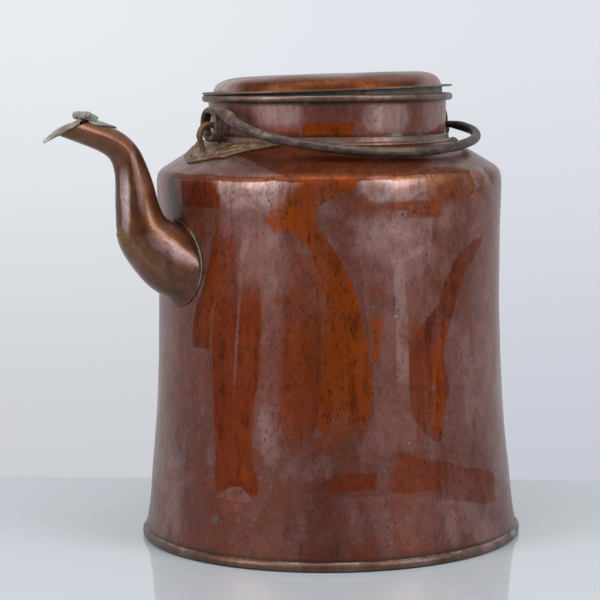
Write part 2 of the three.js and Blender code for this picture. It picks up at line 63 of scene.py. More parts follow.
logging.basicConfig(level=logging.INFO, format="%(message)s")
log = logging.getLogger("kettle")
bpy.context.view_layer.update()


class Side(Enum):
    """The two ears, by the sign of their X."""

    LEFT = -1
    RIGHT = 1


class Body(Enum):
    """The moving bodies of the kettle."""

    KETTLE = "kettle"
    LID = "lid"
    FLAP = "flap"
    BAIL = "bail"


class Slot(Enum):
    """The record's material slots."""

    COPPER = "copper"
    TINNED = "tinned_copper"
    BRASS = "tarnished_brass"
    IRON = "iron"


def mm(*lengths: float) -> tuple[float, ...]:
    """Give millimetres in Blender's metres."""
    return tuple(length * MM for length in lengths)


def through(points: Sequence[Point], spacing: float) -> list[tuple[float, ...]]:
    """Lay a smooth row of points through a few given ones.

    Args:
        points: The given points, of any one number of coordinates.
        spacing: The longest step between two points of the row.

    Returns:
        The row, from the first given point to the last.
    """
    held = [Vector(p) for p in points]
    gaps = [(b - a).length for a, b in zip(held, held[1:])]
    leans = [(held[1] - held[0]) / gaps[0]]
    for i in range(1, len(held) - 1):
        before, after = gaps[i - 1], gaps[i]
        back = (held[i] - held[i - 1]) / before
        ahead = (held[i + 1] - held[i]) / after
        leans.append((back * after + ahead * before) / (before + after))
    leans.append((held[-1] - held[-2]) / gaps[-1])
    row = [tuple(held[0])]
    for i, gap in enumerate(gaps):
        steps = max(1, math.ceil(gap / spacing))
        for step in range(1, steps + 1):
            t = step / steps
            rise = t * t * (3 - 2 * t)
            start = leans[i] * gap * t * (1 - t) ** 2
            end = leans[i + 1] * gap * t * t * (1 - t)
            row.append(tuple(held[i] * (1 - rise) + held[i + 1] * rise + start - end))
    return row


class Bench:
    """The hand tools that shape every piece."""

    @staticmethod
    def take(piece: bpy.types.Object) -> None:
        """Select one piece alone.

        Args:
            piece: The piece.
        """
        if bpy.context.mode != "OBJECT":
            bpy.ops.object.mode_set(mode="OBJECT")
        bpy.ops.object.select_all(action="DESELECT")
        piece.select_set(True)
        bpy.context.view_layer.objects.active = piece

    @staticmethod
    def clear() -> None:
        """Put everything down before a new primitive is added."""
        if bpy.context.mode != "OBJECT":
            bpy.ops.object.mode_set(mode="OBJECT")
        bpy.ops.object.select_all(action="DESELECT")

    @staticmethod
    def seat(piece: bpy.types.Object) -> None:
        """Put a piece's place, turn and scale into its mesh."""
        Bench.take(piece)
        bpy.ops.object.transform_apply(location=True, rotation=True, scale=True)

    @staticmethod
    def edit(piece: bpy.types.Object, everything: bool = True) -> None:
        """Open a piece in edit mode.

        Args:
            piece: The piece to work on.
            everything: Whether all of it starts out selected.
        """
        Bench.take(piece)
        bpy.ops.object.mode_set(mode="EDIT")
        bpy.ops.mesh.select_mode(type="VERT")
        bpy.ops.mesh.select_all(action="SELECT" if everything else "DESELECT")

    @staticmethod
    def close() -> None:
        """Leave edit mode."""
        bpy.ops.object.mode_set(mode="OBJECT")

    @staticmethod
    def begin(name: str) -> bpy.types.Object:
        """Name the primitive that was just added, and open it in edit mode.

        Args:
            name: Its name.

        Returns:
            The piece.
        """
        piece = bpy.context.object
        piece.name = piece.data.name = name
        Bench.seat(piece)
        Bench.edit(piece)
        return piece

    @staticmethod
    def draw_out(move: Point) -> None:
        """Extrude what is selected along a move in metres."""
        bpy.ops.mesh.extrude_region_move(TRANSFORM_OT_translate={"value": move})

    @staticmethod
    def weld() -> None:
        """Merge the open piece's doubled points."""
        bpy.ops.mesh.select_all(action="SELECT")
        bpy.ops.mesh.remove_doubles(threshold=WELD)

    @staticmethod
    def cap() -> None:
        """Close the open piece's ends, and its edit mode."""
        bpy.ops.mesh.select_all(action="SELECT")
        bpy.ops.mesh.fill_holes(sides=0)
        Bench.close()

    @staticmethod
    def pick(piece: bpy.types.Object, wanted: Callable[[Vector], bool]) -> None:
        """Select a piece's points by their place, in edit mode.

        Args:
            piece: The piece, open in edit mode.
            wanted: Says of a place whether its point is wanted.
        """
        bpy.ops.mesh.select_all(action="DESELECT")
        mesh = bmesh.from_edit_mesh(piece.data)
        for point in mesh.verts:
            point.select = wanted(point.co)
        mesh.select_flush(True)
        bmesh.update_edit_mesh(piece.data)

    @staticmethod
    def chain(name: str, points: Sequence[Point]) -> bpy.types.Object:
        """Draw a row of points joined by edges.

        Args:
            name: The piece's name.
            points: Places in metres.

        Returns:
            The piece, open in edit mode with its last point selected.
        """
        Bench.clear()
        bpy.ops.mesh.primitive_plane_add(size=2 * MM, location=points[0])
        piece = Bench.begin(name)
        bpy.ops.mesh.merge(type="CENTER")
        for before, after in zip(points, points[1:]):
            step = Vector(after) - Vector(before)
            bpy.ops.mesh.extrude_vertices_move(TRANSFORM_OT_translate={"value": step})
        return piece

    @staticmethod
    def spun(name: str, profile: Sequence[Point], steps: int = ROUND) -> bpy.types.Object:
        """Turn a profile about the Z axis, as on a lathe.

        Args:
            name: The piece's name.
            profile: Rows of radius and height in millimetres. It closes a solid where it ends
                where it began, or where both ends lie on the axis.
            steps: How many steps go round.

        Returns:
            The piece, with its faces outwards.
        """
        piece = Bench.chain(name, [mm(r, 0, z) for r, z in profile])
        bpy.ops.mesh.select_all(action="SELECT")
        bpy.ops.mesh.spin(steps=steps, angle=2 * math.pi, center=(0, 0, 0), axis=(0, 0, 1))
        Bench.weld()
        bpy.ops.mesh.normals_make_consistent(inside=False)
        Bench.close()
        return piece

    @staticmethod
    def tube(name: str, stations: Sequence[Point], sides: int) -> bpy.types.Object:
        """Draw an open tube in the XZ plane, ring after ring.

        Args:
            name: The piece's name.
            stations: Rows of x, z, half depth and half width in millimetres.
            sides: How many points each ring has.

        Returns:
            The open skin, with its faces outwards.
        """
        turns = []
        for i in range(len(stations)):
            before, after = stations[max(i - 1, 0)], stations[min(i + 1, len(stations) - 1)]
            turns.append(math.atan2(after[0] - before[0], after[1] - before[1]))
        x, z, deep, wide = mm(*stations[0])
        Bench.clear()
        bpy.ops.mesh.primitive_circle_add(
            vertices=sides, radius=deep, location=(x, 0, z), rotation=(0, turns[0], 0)
        )
        piece = Bench.begin(name)
        bpy.ops.transform.resize(value=(1, wide / deep, 1), center_override=(x, 0, z))
        for i in range(1, len(stations)):
            nx, nz, ndeep, nwide = mm(*stations[i])
            at = (nx, 0, nz)
            grow = ndeep / deep
            Bench.draw_out((nx - x, 0, nz - z))
            bpy.ops.transform.rotate(
                value=turns[i - 1] - turns[i], orient_axis="Y", center_override=at
            )
            bpy.ops.transform.resize(value=(grow, nwide / wide, grow), center_override=at)
            x, z, deep, wide = nx, nz, ndeep, nwide
        Bench.close()
        Bench.outward(piece)
        return piece

    @staticmethod
    def rod(
        name: str,
        line: Sequence[Point],
        section: Callable[[float], tuple[float, float]],
        sides: int = 20,
        steps: int = 120,
    ) -> bpy.types.Object:
        """Draw a straight rod out to its length and bend it along a line.

        Args:
            name: The piece's name.
            line: The points that its middle follows, in millimetres.
            section: Gives the half width and half height at a share of the length.
            sides: How many points each ring has.
            steps: How many stretches the rod is drawn out in.

        Returns:
            The bent rod with closed ends.
        """
        places = [Vector(mm(*p)) for p in line]
        length = sum((b - a).length for a, b in zip(places, places[1:]))
        Bench.clear()
        bpy.ops.curve.primitive_bezier_curve_add()
        path = bpy.context.object
        path.data.splines.clear()
        spline = path.data.splines.new("POLY")
        spline.points.add(len(places) - 1)
        for knot, place in zip(spline.points, places):
            knot.co = (*place, 1)
        path.data.twist_mode = "Z_UP"
        Bench.clear()
        wide, high = mm(*section(0))
        bpy.ops.mesh.primitive_circle_add(vertices=sides, radius=1, rotation=(0, math.pi / 2, 0))
        piece = Bench.begin(name)
        bpy.ops.transform.resize(value=(1, wide, high), center_override=(0, 0, 0))
        for step in range(1, steps + 1):
            nwide, nhigh = mm(*section(step / steps))
            Bench.draw_out((length / steps, 0, 0))
            bpy.ops.transform.resize(
                value=(1, nwide / wide, nhigh / high),
                center_override=(length * step / steps, 0, 0),
            )
            wide, high = nwide, nhigh
        Bench.cap()
        Bench.modify(piece, "CURVE", object=path, deform_axis="POS_X")
        bpy.data.objects.remove(path)
        Bench.outward(piece)
        return piece

    @staticmethod
    def plate(
        name: str,
        outline: Sequence[Point],
        cell: float,
        onto: bpy.types.Object,
        gap: float,
        thick: float,
    ) -> bpy.types.Object:
        """Cut a flat plate to an outline, and lay it down on another piece from above.

        Args:
            name: The piece's name.
            outline: Points of x and y in millimetres, going round once.
            cell: The side of the squares that the plate is scored into, in millimetres.
            onto: The piece that the plate lies on.
            gap: How far it stands off that piece, in millimetres.
            thick: Its thickness in millimetres.

        Returns:
            The shaped plate.
        """
        above = 320  # clear of all that a plate is laid on
        piece = Bench.chain(name, [mm(x, y, above) for x, y in [*outline, outline[0]]])
        Bench.weld()
        bpy.ops.mesh.select_all(action="SELECT")
        bpy.ops.mesh.edge_face_add()
        for axis in (0, 1):
            low, top = (bound(p[axis] for p in outline) for bound in (min, max))
            across = Vector((1 - axis, axis, 0))
            at = low + cell
            while at < top - cell / 3:
                bpy.ops.mesh.select_all(action="SELECT")
                bpy.ops.mesh.bisect(plane_co=across * (at * MM), plane_no=across)
                at += cell
        Bench.close()
        Bench.face(piece, Vector((0, 0, 1)))
        Bench.modify(
            piece,
            "SHRINKWRAP",
            target=onto,
            wrap_method="PROJECT",
            use_project_z=True,
            use_negative_direction=True,
            use_positive_direction=False,
            offset=gap * MM,
        )
        Bench.modify(piece, "SOLIDIFY", thickness=thick * MM, offset=1, use_even_offset=True)
        return piece

    @staticmethod
    def face(piece: bpy.types.Object, way: Vector) -> None:
        """Turn an open sheet over where it doesn't face a given way.

        Args:
            piece: The sheet.
            way: The way that its faces should look.
        """
        Bench.outward(piece)
        if sum(f.normal.dot(way) * f.area for f in piece.data.polygons) < 0:
            Bench.edit(piece)
            bpy.ops.mesh.flip_normals()
            Bench.close()

    @staticmethod
    def outward(piece: bpy.types.Object) -> None:
        """Point all faces of a rounded piece away from its inside.

        Args:
            piece: The piece.
        """
        Bench.edit(piece)
        bpy.ops.mesh.normals_make_consistent(inside=False)
        Bench.close()

    @staticmethod
    def modify(piece: bpy.types.Object, kind: str, **settings: object) -> None:
        """Add one modifier with its settings and apply it.

        Args:
            piece: The piece to change.
            kind: Blender's name for the modifier.
            **settings: What is set on it first.
        """
        Bench.take(piece)
        made = piece.modifiers.new(kind.title(), kind)
        for name, value in settings.items():
            setattr(made, name, value)
        bpy.ops.object.modifier_apply(modifier=made.name)

    @staticmethod
    def thicken(piece: bpy.types.Object, thick: float, offset: float = -1) -> None:
        """Give a sheet its thickness, inwards where nothing else is said."""
        Bench.modify(piece, "SOLIDIFY", thickness=thick * MM, offset=offset)

    @staticmethod
    def ease_edges(piece: bpy.types.Object, width: float) -> None:
        """Round the edges of a piece over a width in millimetres."""
        Bench.modify(piece, "BEVEL", width=width * MM, segments=2, limit_method="ANGLE")

    @staticmethod
    def press(piece: bpy.types.Object, at: Point, move: Point, reach: float) -> None:
        """Press a soft dent or swelling into a piece.

        Args:
            piece: The piece.
            at: The place of its middle, in millimetres.
            move: Which way and how far the middle moves, in millimetres.
            reach: How far round it the metal follows, in millimetres.
        """
        middle = Vector(mm(*at))
        nearest = min((v.co - middle).length for v in piece.data.vertices)
        Bench.edit(piece, everything=False)
        hair = 1e-7
        Bench.pick(piece, lambda place: (place - middle).length <= nearest + hair)
        bpy.ops.transform.translate(
            value=mm(*move),
            use_proportional_edit=True,
            proportional_edit_falloff="SMOOTH",
            proportional_size=reach * MM,
        )
        Bench.close()

    @staticmethod
    def ripple(
        piece: bpy.types.Object, size: float, depth: float, group: str = "", depths: int = 1
    ) -> None:
        """Make a surface uneven, as beaten and worn sheet is.

        Args:
            piece: The piece.
            size: How wide the waves are, in millimetres.
            depth: From crest to hollow, in millimetres.
            group: The vertex group that it is held to, if any.
            depths: How many finer waves ride on the large ones.
        """
        texture = bpy.data.textures.new(f"{piece.name}_{size}", "CLOUDS")
        texture.noise_scale = size * MM
        texture.noise_depth = depths
        settings = {"texture": texture, "texture_coords": "LOCAL", "strength": depth * MM}
        if group:
            settings["vertex_group"] = group
        Bench.modify(piece, "DISPLACE", mid_level=0.5, **settings)

    @staticmethod
    def held(piece: bpy.types.Object, weigh: Callable[[Vector], float]) -> str:
        """Weigh the points of a piece, so that a ripple leaves its seams alone.

        Args:
            piece: The piece.
            weigh: Gives the weight at a place, from 0 to 1.

        Returns:
            The name of the vertex group.
        """
        group = piece.vertex_groups.new(name="free")
        for point in piece.data.vertices:
            group.add([point.index], weigh(point.co), "REPLACE")
        return group.name

    @staticmethod
    def cut(piece: bpy.types.Object, tool: bpy.types.Object, way: str = "DIFFERENCE") -> None:
        """Cut a piece with a closed tool, or join the two, and drop the tool.

        Args:
            piece: The piece to keep.
            tool: The closed piece to use up.
            way: Blender's name for the operation.
        """
        Bench.modify(piece, "BOOLEAN", object=tool, operation=way, solver="EXACT")
        bpy.data.objects.remove(tool)

    @staticmethod
    def place(piece: bpy.types.Object, where: Matrix) -> None:
        """Move a finished piece, and put the move into its mesh.

        Args:
            piece: The piece.
            where: Where it goes.
        """
        piece.matrix_world = where
        bpy.context.view_layer.update()
        Bench.seat(piece)

    @staticmethod
    def twin(name: str, piece: bpy.types.Object) -> bpy.types.Object:
        """Copy a piece together with its mesh.

        Args:
            name: The copy's name.
            piece: The piece to copy.

        Returns:
            The copy.
        """
        made = piece.copy()
        made.data = piece.data.copy()
        made.name = made.data.name = name
        bpy.context.scene.collection.objects.link(made)
        return made

    @staticmethod
    def from_frame(name: str, node: str) -> bpy.types.Object:
        """Copy a CAD node's mesh and merge its loose triangles.

        Args:
            name: The new piece's name.
            node: The CAD node's name.

        Returns:
            The merged copy at the origin.
        """
        made = bpy.data.objects.new(name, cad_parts[node].data.copy())
        bpy.context.scene.collection.objects.link(made)
        Bench.edit(made)
        bpy.ops.mesh.remove_doubles(threshold=WELD / 2)
        bpy.ops.mesh.select_all(action="SELECT")
        bpy.ops.mesh.dissolve_limited(angle_limit=math.radians(1))
        Bench.close()
        made.data.materials.clear()
        return made

    @staticmethod
    def deliver(
        piece: bpy.types.Object,
        finish: bpy.types.Material,
        body: Body,
        slot: Slot,
        nodes: Sequence[str] = (),
    ) -> None:
        """Shade a finished piece, dress it and hand it to its body.

        Args:
            piece: The finished piece.
            finish: Its material.
            body: The moving body that it rides on.
            slot: The record's slot for its finish; not used.
            nodes: The CAD nodes that it stands for.
        """
        Bench.take(piece)
        bpy.ops.object.shade_smooth_by_angle(angle=SHARP_EDGE)
        piece.data.materials.clear()
        piece.data.materials.append(finish)
        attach(piece, body.value)
        if nodes:
            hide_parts(*nodes)
        log.info("%s: %d faces on %s", piece.name, len(piece.data.polygons), body.value)


class Value:
    """A number that varies over a surface, so that shader sums read as plain sums."""

    def __init__(self, net: "Net", socket: bpy.types.NodeSocket) -> None:
        """Wrap one output socket of a net."""
        self.net = net
        self.socket = socket

    def __add__(self, other: Number) -> "Value":
        """Add."""
        return self.net.math("ADD", self, other)

    __radd__ = __add__

    def __sub__(self, other: Number) -> "Value":
        """Subtract."""
        return self.net.math("SUBTRACT", self, other)

    def __rsub__(self, other: Number) -> "Value":
        """Subtract from a number."""
        return self.net.math("SUBTRACT", other, self)

    def __mul__(self, other: Number) -> "Value":
        """Multiply."""
        return self.net.math("MULTIPLY", self, other)

    __rmul__ = __mul__

    def __truediv__(self, other: Number) -> "Value":
        """Divide."""
        return self.net.math("DIVIDE", self, other)

    def __neg__(self) -> "Value":
        """Change the sign."""
        return self.net.math("MULTIPLY", self, -1)


class Net:
    """The nodes of one material or of the world."""

    def __init__(self, tree: bpy.types.NodeTree) -> None:
        """Start from an empty tree."""
        self.tree = tree
        tree.nodes.clear()

    def node(
        self, kind: str, settings: dict | None = None, inputs: dict | None = None
    ) -> bpy.types.Node:
        """Add any node, with its settings set before its sockets.

        Args:
            kind: The node's type.
            settings: What is set on the node, such as its operation or a curve's stops.
            inputs: A value or a link for each named or numbered socket.

        Returns:
            The node.
        """
        made = self.tree.nodes.new(kind)
        for name, value in (settings or {}).items():
            if name == "stops":
                self.draw_curve(made, value)
            else:
                setattr(made, name, value)
        for name, value in (inputs or {}).items():
            socket = value.socket if isinstance(value, Value) else value
            if isinstance(socket, bpy.types.NodeSocket):
                self.tree.links.new(socket, made.inputs[name])
            else:
                made.inputs[name].default_value = socket
        return made

    @staticmethod
    def draw_curve(node: bpy.types.Node, stops: Sequence[Point]) -> None:
        """Draw a Float Curve node's line through its stops, in order from 0 to 1.

        Args:
            node: The Float Curve node.
            stops: Pairs of a place and a height.
        """
        points = node.mapping.curves[0].points
        points[0].location, points[1].location = stops[0], stops[-1]
        for stop in stops[1:-1]:
            points.new(*stop)
        for point in points:
            point.handle_type = "AUTO_CLAMPED"
        node.mapping.update()

    def curve(self, value: Value, stops: Sequence[Point]) -> Value:
        """Read a drawn line at a value from 0 to 1."""
        made = self.node("ShaderNodeFloatCurve", {"stops": stops}, {"Value": value})
        return Value(self, made.outputs[0])

    def math(self, operation: str, *terms: Number) -> Value:
        """Add one Math node on numbers."""
        made = self.node("ShaderNodeMath", {"operation": operation}, dict(enumerate(terms)))
        return Value(self, made.outputs[0])

    def place(self, turn: float = 0.0, stretch: Point = (1, 1, 1)) -> bpy.types.NodeSocket:
        """Read the place on the object, turned about Z and stretched.

        Args:
            turn: The turn in degrees.
            stretch: The scale along each axis.

        Returns:
            The place as a vector.
        """
        coords = self.node("ShaderNodeTexCoord").outputs["Object"]
        mapping = self.node(
            "ShaderNodeMapping",
            {"vector_type": "POINT"},
            {"Vector": coords, "Rotation": (0, 0, math.radians(turn)), "Scale": stretch},
        )
        return mapping.outputs[0]

    def split(self, vector: bpy.types.NodeSocket) -> tuple[Value, Value, Value]:
        """Part a vector into its three numbers."""
        made = self.node("ShaderNodeSeparateXYZ", None, {0: vector})
        return tuple(Value(self, socket) for socket in made.outputs)

    def noise(
        self, where: bpy.types.NodeSocket, scale: float, detail: float = 3, rough: float = 0.5
    ) -> Value:
        """Read cloudy noise, about 0.5 on the whole.

        Args:
            where: The place that it is read at.
            scale: Waves in a metre.
            detail: How many finer waves are added.
            rough: How strong the finer waves are.

        Returns:
            The noise.
        """
        made = self.node(
            "ShaderNodeTexNoise",
            None,
            {"Vector": where, "Scale": scale, "Detail": detail, "Roughness": rough},
        )
        return Value(self, made.outputs["Fac"])

    def cells(self, where: bpy.types.NodeSocket, scale: float, feature: str = "F1") -> Value:
        """Read the distance to the nearest of scattered points.

        Args:
            where: The place that it is read at.
            scale: Points in a metre.
            feature: Blender's name for the kind of distance.

        Returns:
            The distance, in cells.
        """
        made = self.node(
            "ShaderNodeTexVoronoi", {"feature": feature}, {"Vector": where, "Scale": scale}
        )
        return Value(self, made.outputs["Distance"])

    def rise(self, value: Value, low: float, high: float) -> Value:
        """Rise smoothly from 0 to 1 as a value goes from low to high, or fall if low is higher.

        Args:
            value: The value.
            low: Where it starts out from 0.
            high: Where it reaches 1.

        Returns:
            The mask.
        """
        made = self.node(
            "ShaderNodeMapRange",
            {"interpolation_type": "SMOOTHSTEP"},
            {"Value": value, "From Min": low, "From Max": high},
        )
        return Value(self, made.outputs[0])

    def most(self, *masks: Value) -> Value:
        """Give the largest of a few masks.

        Args:
            *masks: The masks.

        Returns:
            The largest at every place.
        """
        largest = masks[0]
        for mask in masks[1:]:
            largest = self.math("MAXIMUM", largest, mask)
        return largest

    def mix(self, share: Number, under: object, over: object) -> bpy.types.NodeSocket:
        """Mix two colours.

        Args:
            share: How much of the second shows.
            under: The first colour, as numbers or a link.
            over: The second colour.

        Returns:
            The mixed colour.
        """
        colours = {
            6: (*under, 1) if isinstance(under, tuple) else under,
            7: (*over, 1) if isinstance(over, tuple) else over,
        }
        made = self.node(
            "ShaderNodeMix", {"data_type": "RGBA", "clamp_factor": True}, {0: share, **colours}
        )
        return made.outputs[2]

    def bump(
        self, height: Value, strength: float, depth: float, over: object = None
    ) -> bpy.types.NodeSocket:
        """Turn a height into a bent normal.

        Args:
            height: The height, from 0 to 1.
            strength: How much of it shows.
            depth: What a height of 1 means, in millimetres.
            over: A bent normal that this one adds to.

        Returns:
            The normal.
        """
        inputs = {"Height": height, "Strength": strength, "Distance": depth * MM}
        if over is not None:
            inputs["Normal"] = over
        return self.node("ShaderNodeBump", None, inputs).outputs[0]

    def surface(self, inputs: dict) -> None:
        """Feed the one surface shader and the output.

        Args:
            inputs: A value or a link for each of its sockets.
        """
        shader = self.node("ShaderNodeBsdfPrincipled", None, inputs)
        self.node("ShaderNodeOutputMaterial", None, {"Surface": shader.outputs[0]})


def new_net(name: str) -> tuple[bpy.types.Material, Net]:
    """Make a material and open its nodes.

    Args:
        name: The material's name.

    Returns:
        The material and its nodes.
    """
    material = bpy.data.materials.new(name)
    material.use_nodes = True
    return material, Net(material.node_tree)


class Tone(Enum):
    """The colours laid on the copper: its own, and painted sheen, reflections, highlights and
    shade.
    """

    ORANGE = (0.27, 0.047, 0.0035)
    RED = (0.165, 0.025, 0.0045)
    UMBER = (0.115, 0.024, 0.0028)
    # MAUVE, LILAC, PALE, GREY and CREAM are mostly laid on as painted sheen, reflections and
    # highlights; DUSK as painted shade
    MAUVE = (0.205, 0.083, 0.07)
    DUSK = (0.118, 0.04, 0.031)
    LILAC = (0.3, 0.175, 0.165)
    PALE = (0.46, 0.345, 0.335)
    GREY = (0.215, 0.135, 0.12)
    CREAM = (0.42, 0.34, 0.27)
    # painted shadow beside the spout and on the drip's dark side, and soot
    SOOT = (0.014, 0.011, 0.011)
    SLATE = (0.12, 0.115, 0.115)
    GREEN = (0.2, 0.3, 0.23)
    BROWN = (0.075, 0.024, 0.006)
    OCHRE = (0.27, 0.11, 0.012)
    DEEP = (0.055, 0.012, 0.0035)
    WARM = (0.24, 0.05, 0.01)
    SUNK = (0.09, 0.022, 0.01)
    STREAK = (0.045, 0.012, 0.005)
    MOTTLE = (0.035, 0.01, 0.005)
    FLECK = (0.04, 0.012, 0.006)
    PIT = (0.018, 0.01, 0.008)
    SEAM = (0.028, 0.018, 0.014)

    @property
    def bare(self) -> float:
        """Whether the metal lies bare under this tone, as 1 or 0."""
        return 1.0 if self in (Tone.ORANGE, Tone.RED, Tone.UMBER, Tone.BROWN) else 0.0


class Chart(Enum):
    """How a finish finds its way over a piece."""

    ROUND = "angle round the kettle, height"
    SIDE = "breadth as photographed, height"
    DISC = "any angle, distance from the spout's root"


@dataclass(frozen=True)
class Stroke:
    """One patch of a tone, as rows of height, left edge and right edge.

    Heights are in millimetres from low to high, edges in degrees or millimetres as the chart has
    it. Depth says how well the tone covers, and the softness is that of the left edge, the right
    edge, the foot and the top. Streaked and mottled say how much is worn away, in runs or blotches.
    """

    tone: Tone
    rows: tuple[Point, ...]
    depth: float = 1.0
    soft: tuple[float, float, float, float] = (1.0, 1.0, 3.0, 3.0)
    streaked: float = 0.0
    mottled: float = 0.0

    def mask(self, net: "Net", across: Value, height: Value) -> Value:
        """Give the stroke's mask.

        Args:
            net: The material's nodes.
            across: The place across, as the chart has it.
            height: The height.

        Returns:
            The mask, from 0 to 1.
        """
        low, high = self.rows[0][0], self.rows[-1][0]
        reach = 400  # the span of places across that a drawn edge can reach
        share = (height - low) / (high - low)
        edges = []
        for side in (1, 2):
            stops = [((row[0] - low) / (high - low), row[side] / reach + 0.5) for row in self.rows]
            edges.append((net.curve(share, stops) - 0.5) * reach)
        left, right, foot, top = (amount / 2 for amount in self.soft)
        return (
            net.rise(across - edges[0], -left, left)
            * net.rise(edges[1] - across, -right, right)
            * net.rise(height, low - foot, low + foot)
            * net.rise(height, high + top, high - top)
        )


@dataclass(frozen=True)
class CopperFinish:
    """Old varnished copper: brown skin, painted mauve sheen on it and deep orange where it lies
    bare.
    """

    name: str
    skin: Colour = (0.132, 0.032, 0.014)
    # the mauve of a painted sheen, which stands for soft reflections of the room
    painted_sheen: Colour = (0.19, 0.066, 0.05)
    sheen_share: float = 0.5
    chart: Chart = Chart.ROUND
    strokes: tuple[Stroke, ...] = ()
    spots: tuple[Point, ...] = ()
    facets: float = 0.5
    seams: tuple[float, ...] = ()
    speckle: float = 1.0
    metal: float = 0.78
    coat: float = 0.3
    facing: float = 30.0

    def guide(self, net: "Net", wander: Value, flutter: Value) -> tuple[Value, Value]:
        """Give the place across and the height, as the chart has them.

        Args:
            net: The material's nodes.
            wander: A slow unevenness about 0.
            flutter: A quick unevenness about 0.

        Returns:
            The place across and the height.
        """
        x, y, z = net.split(net.place(turn=self.facing))
        height = z * 1000 + wander * 5 + flutter * 2
        if self.chart is Chart.SIDE:
            return x * 1000 + wander * 3 + flutter, height
        if self.chart is Chart.DISC:
            _, aside, up = net.split(net.place())
            up = up - SPOUT_ROOT * MM
            out = net.math("SQRT", aside * aside + up * up) * 1000
            return wander * 4, out + flutter * 1.2
        angle = net.math("ARCTAN2", x, -y) * math.degrees(1)
        return angle + wander * 1.3 + flutter * 0.7, height

    def material(self) -> bpy.types.Material:
        """Build the material.

        Returns:
            The material.
        """
        made, net = new_net(self.name)
        where = net.place()
        wander = net.noise(where, 42, 3) - 0.5
        flutter = net.noise(where, 260, 3, 0.6) - 0.5
        across, height = self.guide(net, wander, flutter)

        # the noises that the layers share, from wide to fine, and two that run down the wall
        broad = net.noise(where, 9, 3)
        cloud = net.noise(where, 40, 5, 0.62)
        patchy = net.noise(net.place(stretch=(1, 1, 0.55)), 125, 5, 0.65)
        fine = net.noise(where, 420, 5, 0.7)
        streaks = net.noise(net.place(stretch=(330, 330, 11)), 1, 5, 0.62)
        runs = net.noise(net.place(stretch=(95, 95, 5)), 1, 4, 0.6)

        # the skin, the painted mauve sheen on it and the strokes over both, many of them painted
        # reflections
        sheened = net.rise(
            broad * 0.35 + cloud * 0.35 + runs * 0.4 + (self.sheen_share - 0.5) * 0.4, 0.42, 0.7
        )
        colour = net.mix(sheened, self.skin, self.painted_sheen)
        bare = net.rise(runs * 0.55 + cloud * 0.45, 0.56, 0.68) * 0.35
        colour = net.mix(bare, colour, Tone.RED.value)
        # worn places, worked out once, because the renderer's stack holds few values at a time
        streaky = net.rise(runs * 0.6 + streaks * 0.4, 0.56, 0.4)
        blotchy = net.rise(cloud * 0.55 + patchy * 0.45, 0.56, 0.4)
        for stroke in self.strokes:
            mask = stroke.mask(net, across, height) * stroke.depth
            for share, worn in ((stroke.streaked, streaky), (stroke.mottled, blotchy)):
                if share:
                    mask = mask - mask * share * worn
            colour = net.mix(mask, colour, stroke.tone.value)
            bare = bare + (stroke.tone.bare - bare) * mask

        # broad patches, then runs, then fine mottling, most of it stronger or weaker on bare metal
        deep = net.rise(patchy * 0.6 + runs * 0.4, 0.49, 0.62)
        colour = net.mix(deep * (0.45 + bare * 0.2), colour, Tone.DEEP.value)
        warm = net.rise(patchy * 0.45 + cloud * 0.55, 0.49, 0.36)
        colour = net.mix(warm * (0.2 + bare * 0.25), colour, Tone.WARM.value)
        drift = net.noise(net.place(stretch=(1, 1, 0.8)), 21, 4, 0.55)
        milky = net.rise(drift * 0.6 + cloud * 0.4, 0.5, 0.64)
        colour = net.mix(milky * (0.5 - bare * 0.44), colour, Tone.LILAC.value)
        sunk = net.rise(drift * 0.6 + cloud * 0.4, 0.48, 0.36)
        colour = net.mix(sunk * (0.45 - bare * 0.2), colour, Tone.SUNK.value)
        rusty = net.rise(net.noise(net.place(stretch=(1, 1, 0.6)), 62, 5, 0.68), 0.52, 0.6)
        colour = net.mix(rusty * ((0.5 - bare * 0.25) * self.speckle), colour, Tone.RED.value)
        dark_runs = net.rise(streaks, 0.56, 0.76) * (0.08 + bare * 0.14)
        colour = net.mix(dark_runs, colour, Tone.STREAK.value)
        colour = net.mix(net.rise(streaks, 0.42, 0.26) * 0.06, colour, Tone.LILAC.value)
        mottle = net.noise(net.place(stretch=(1, 1, 0.5)), 330, 4, 0.7)
        dark_mottle = net.rise(mottle, 0.54, 0.66) * (0.3 + bare * 0.3)
        colour = net.mix(dark_mottle, colour, Tone.MOTTLE.value)
        colour = net.mix(net.rise(fine, 0.54, 0.7) * 0.3, colour, Tone.FLECK.value)
        pale_flecks = net.rise(fine, 0.43, 0.28) * (0.22 - bare * 0.17)
        colour = net.mix(pale_flecks, colour, Tone.PALE.value)
        chips = net.rise(net.noise(where, 170, 4, 0.6), 0.57, 0.65) * (0.2 * self.speckle)
        colour = net.mix(chips * (1 - bare * 0.5), colour, Tone.ORANGE.value)

        # pits, splashes and stains
        beads = net.cells(net.place(stretch=(1, 1, 0.45)), 330)
        pits = net.rise(beads, 0.27, 0.12) * net.rise(runs * 0.5 + cloud * 0.5, 0.5, 0.58)
        colour = net.mix(pits * (0.8 * self.speckle), colour, Tone.PIT.value)
        dots = net.rise(net.cells(where, 130), 0.11, 0.06) * net.rise(
            net.noise(where, 110, 2), 0.63, 0.67
        )
        colour = net.mix(dots * self.speckle, colour, Tone.PALE.value)
        stains = net.rise(net.noise(where, 95, 4, 0.7), 0.66, 0.72) * 0.5
        for spot_across, spot_height, radius in self.spots:
            aside, up = across - spot_across, height - spot_height
            out = net.math("SQRT", aside * aside * 4.4 + up * up) + (mottle - 0.5) * 9
            stains = net.most(stains, net.rise(out, radius * 1.4, 0) * 0.8)
        colour = net.mix(stains * (0.2 + fine), colour, Tone.SLATE.value)

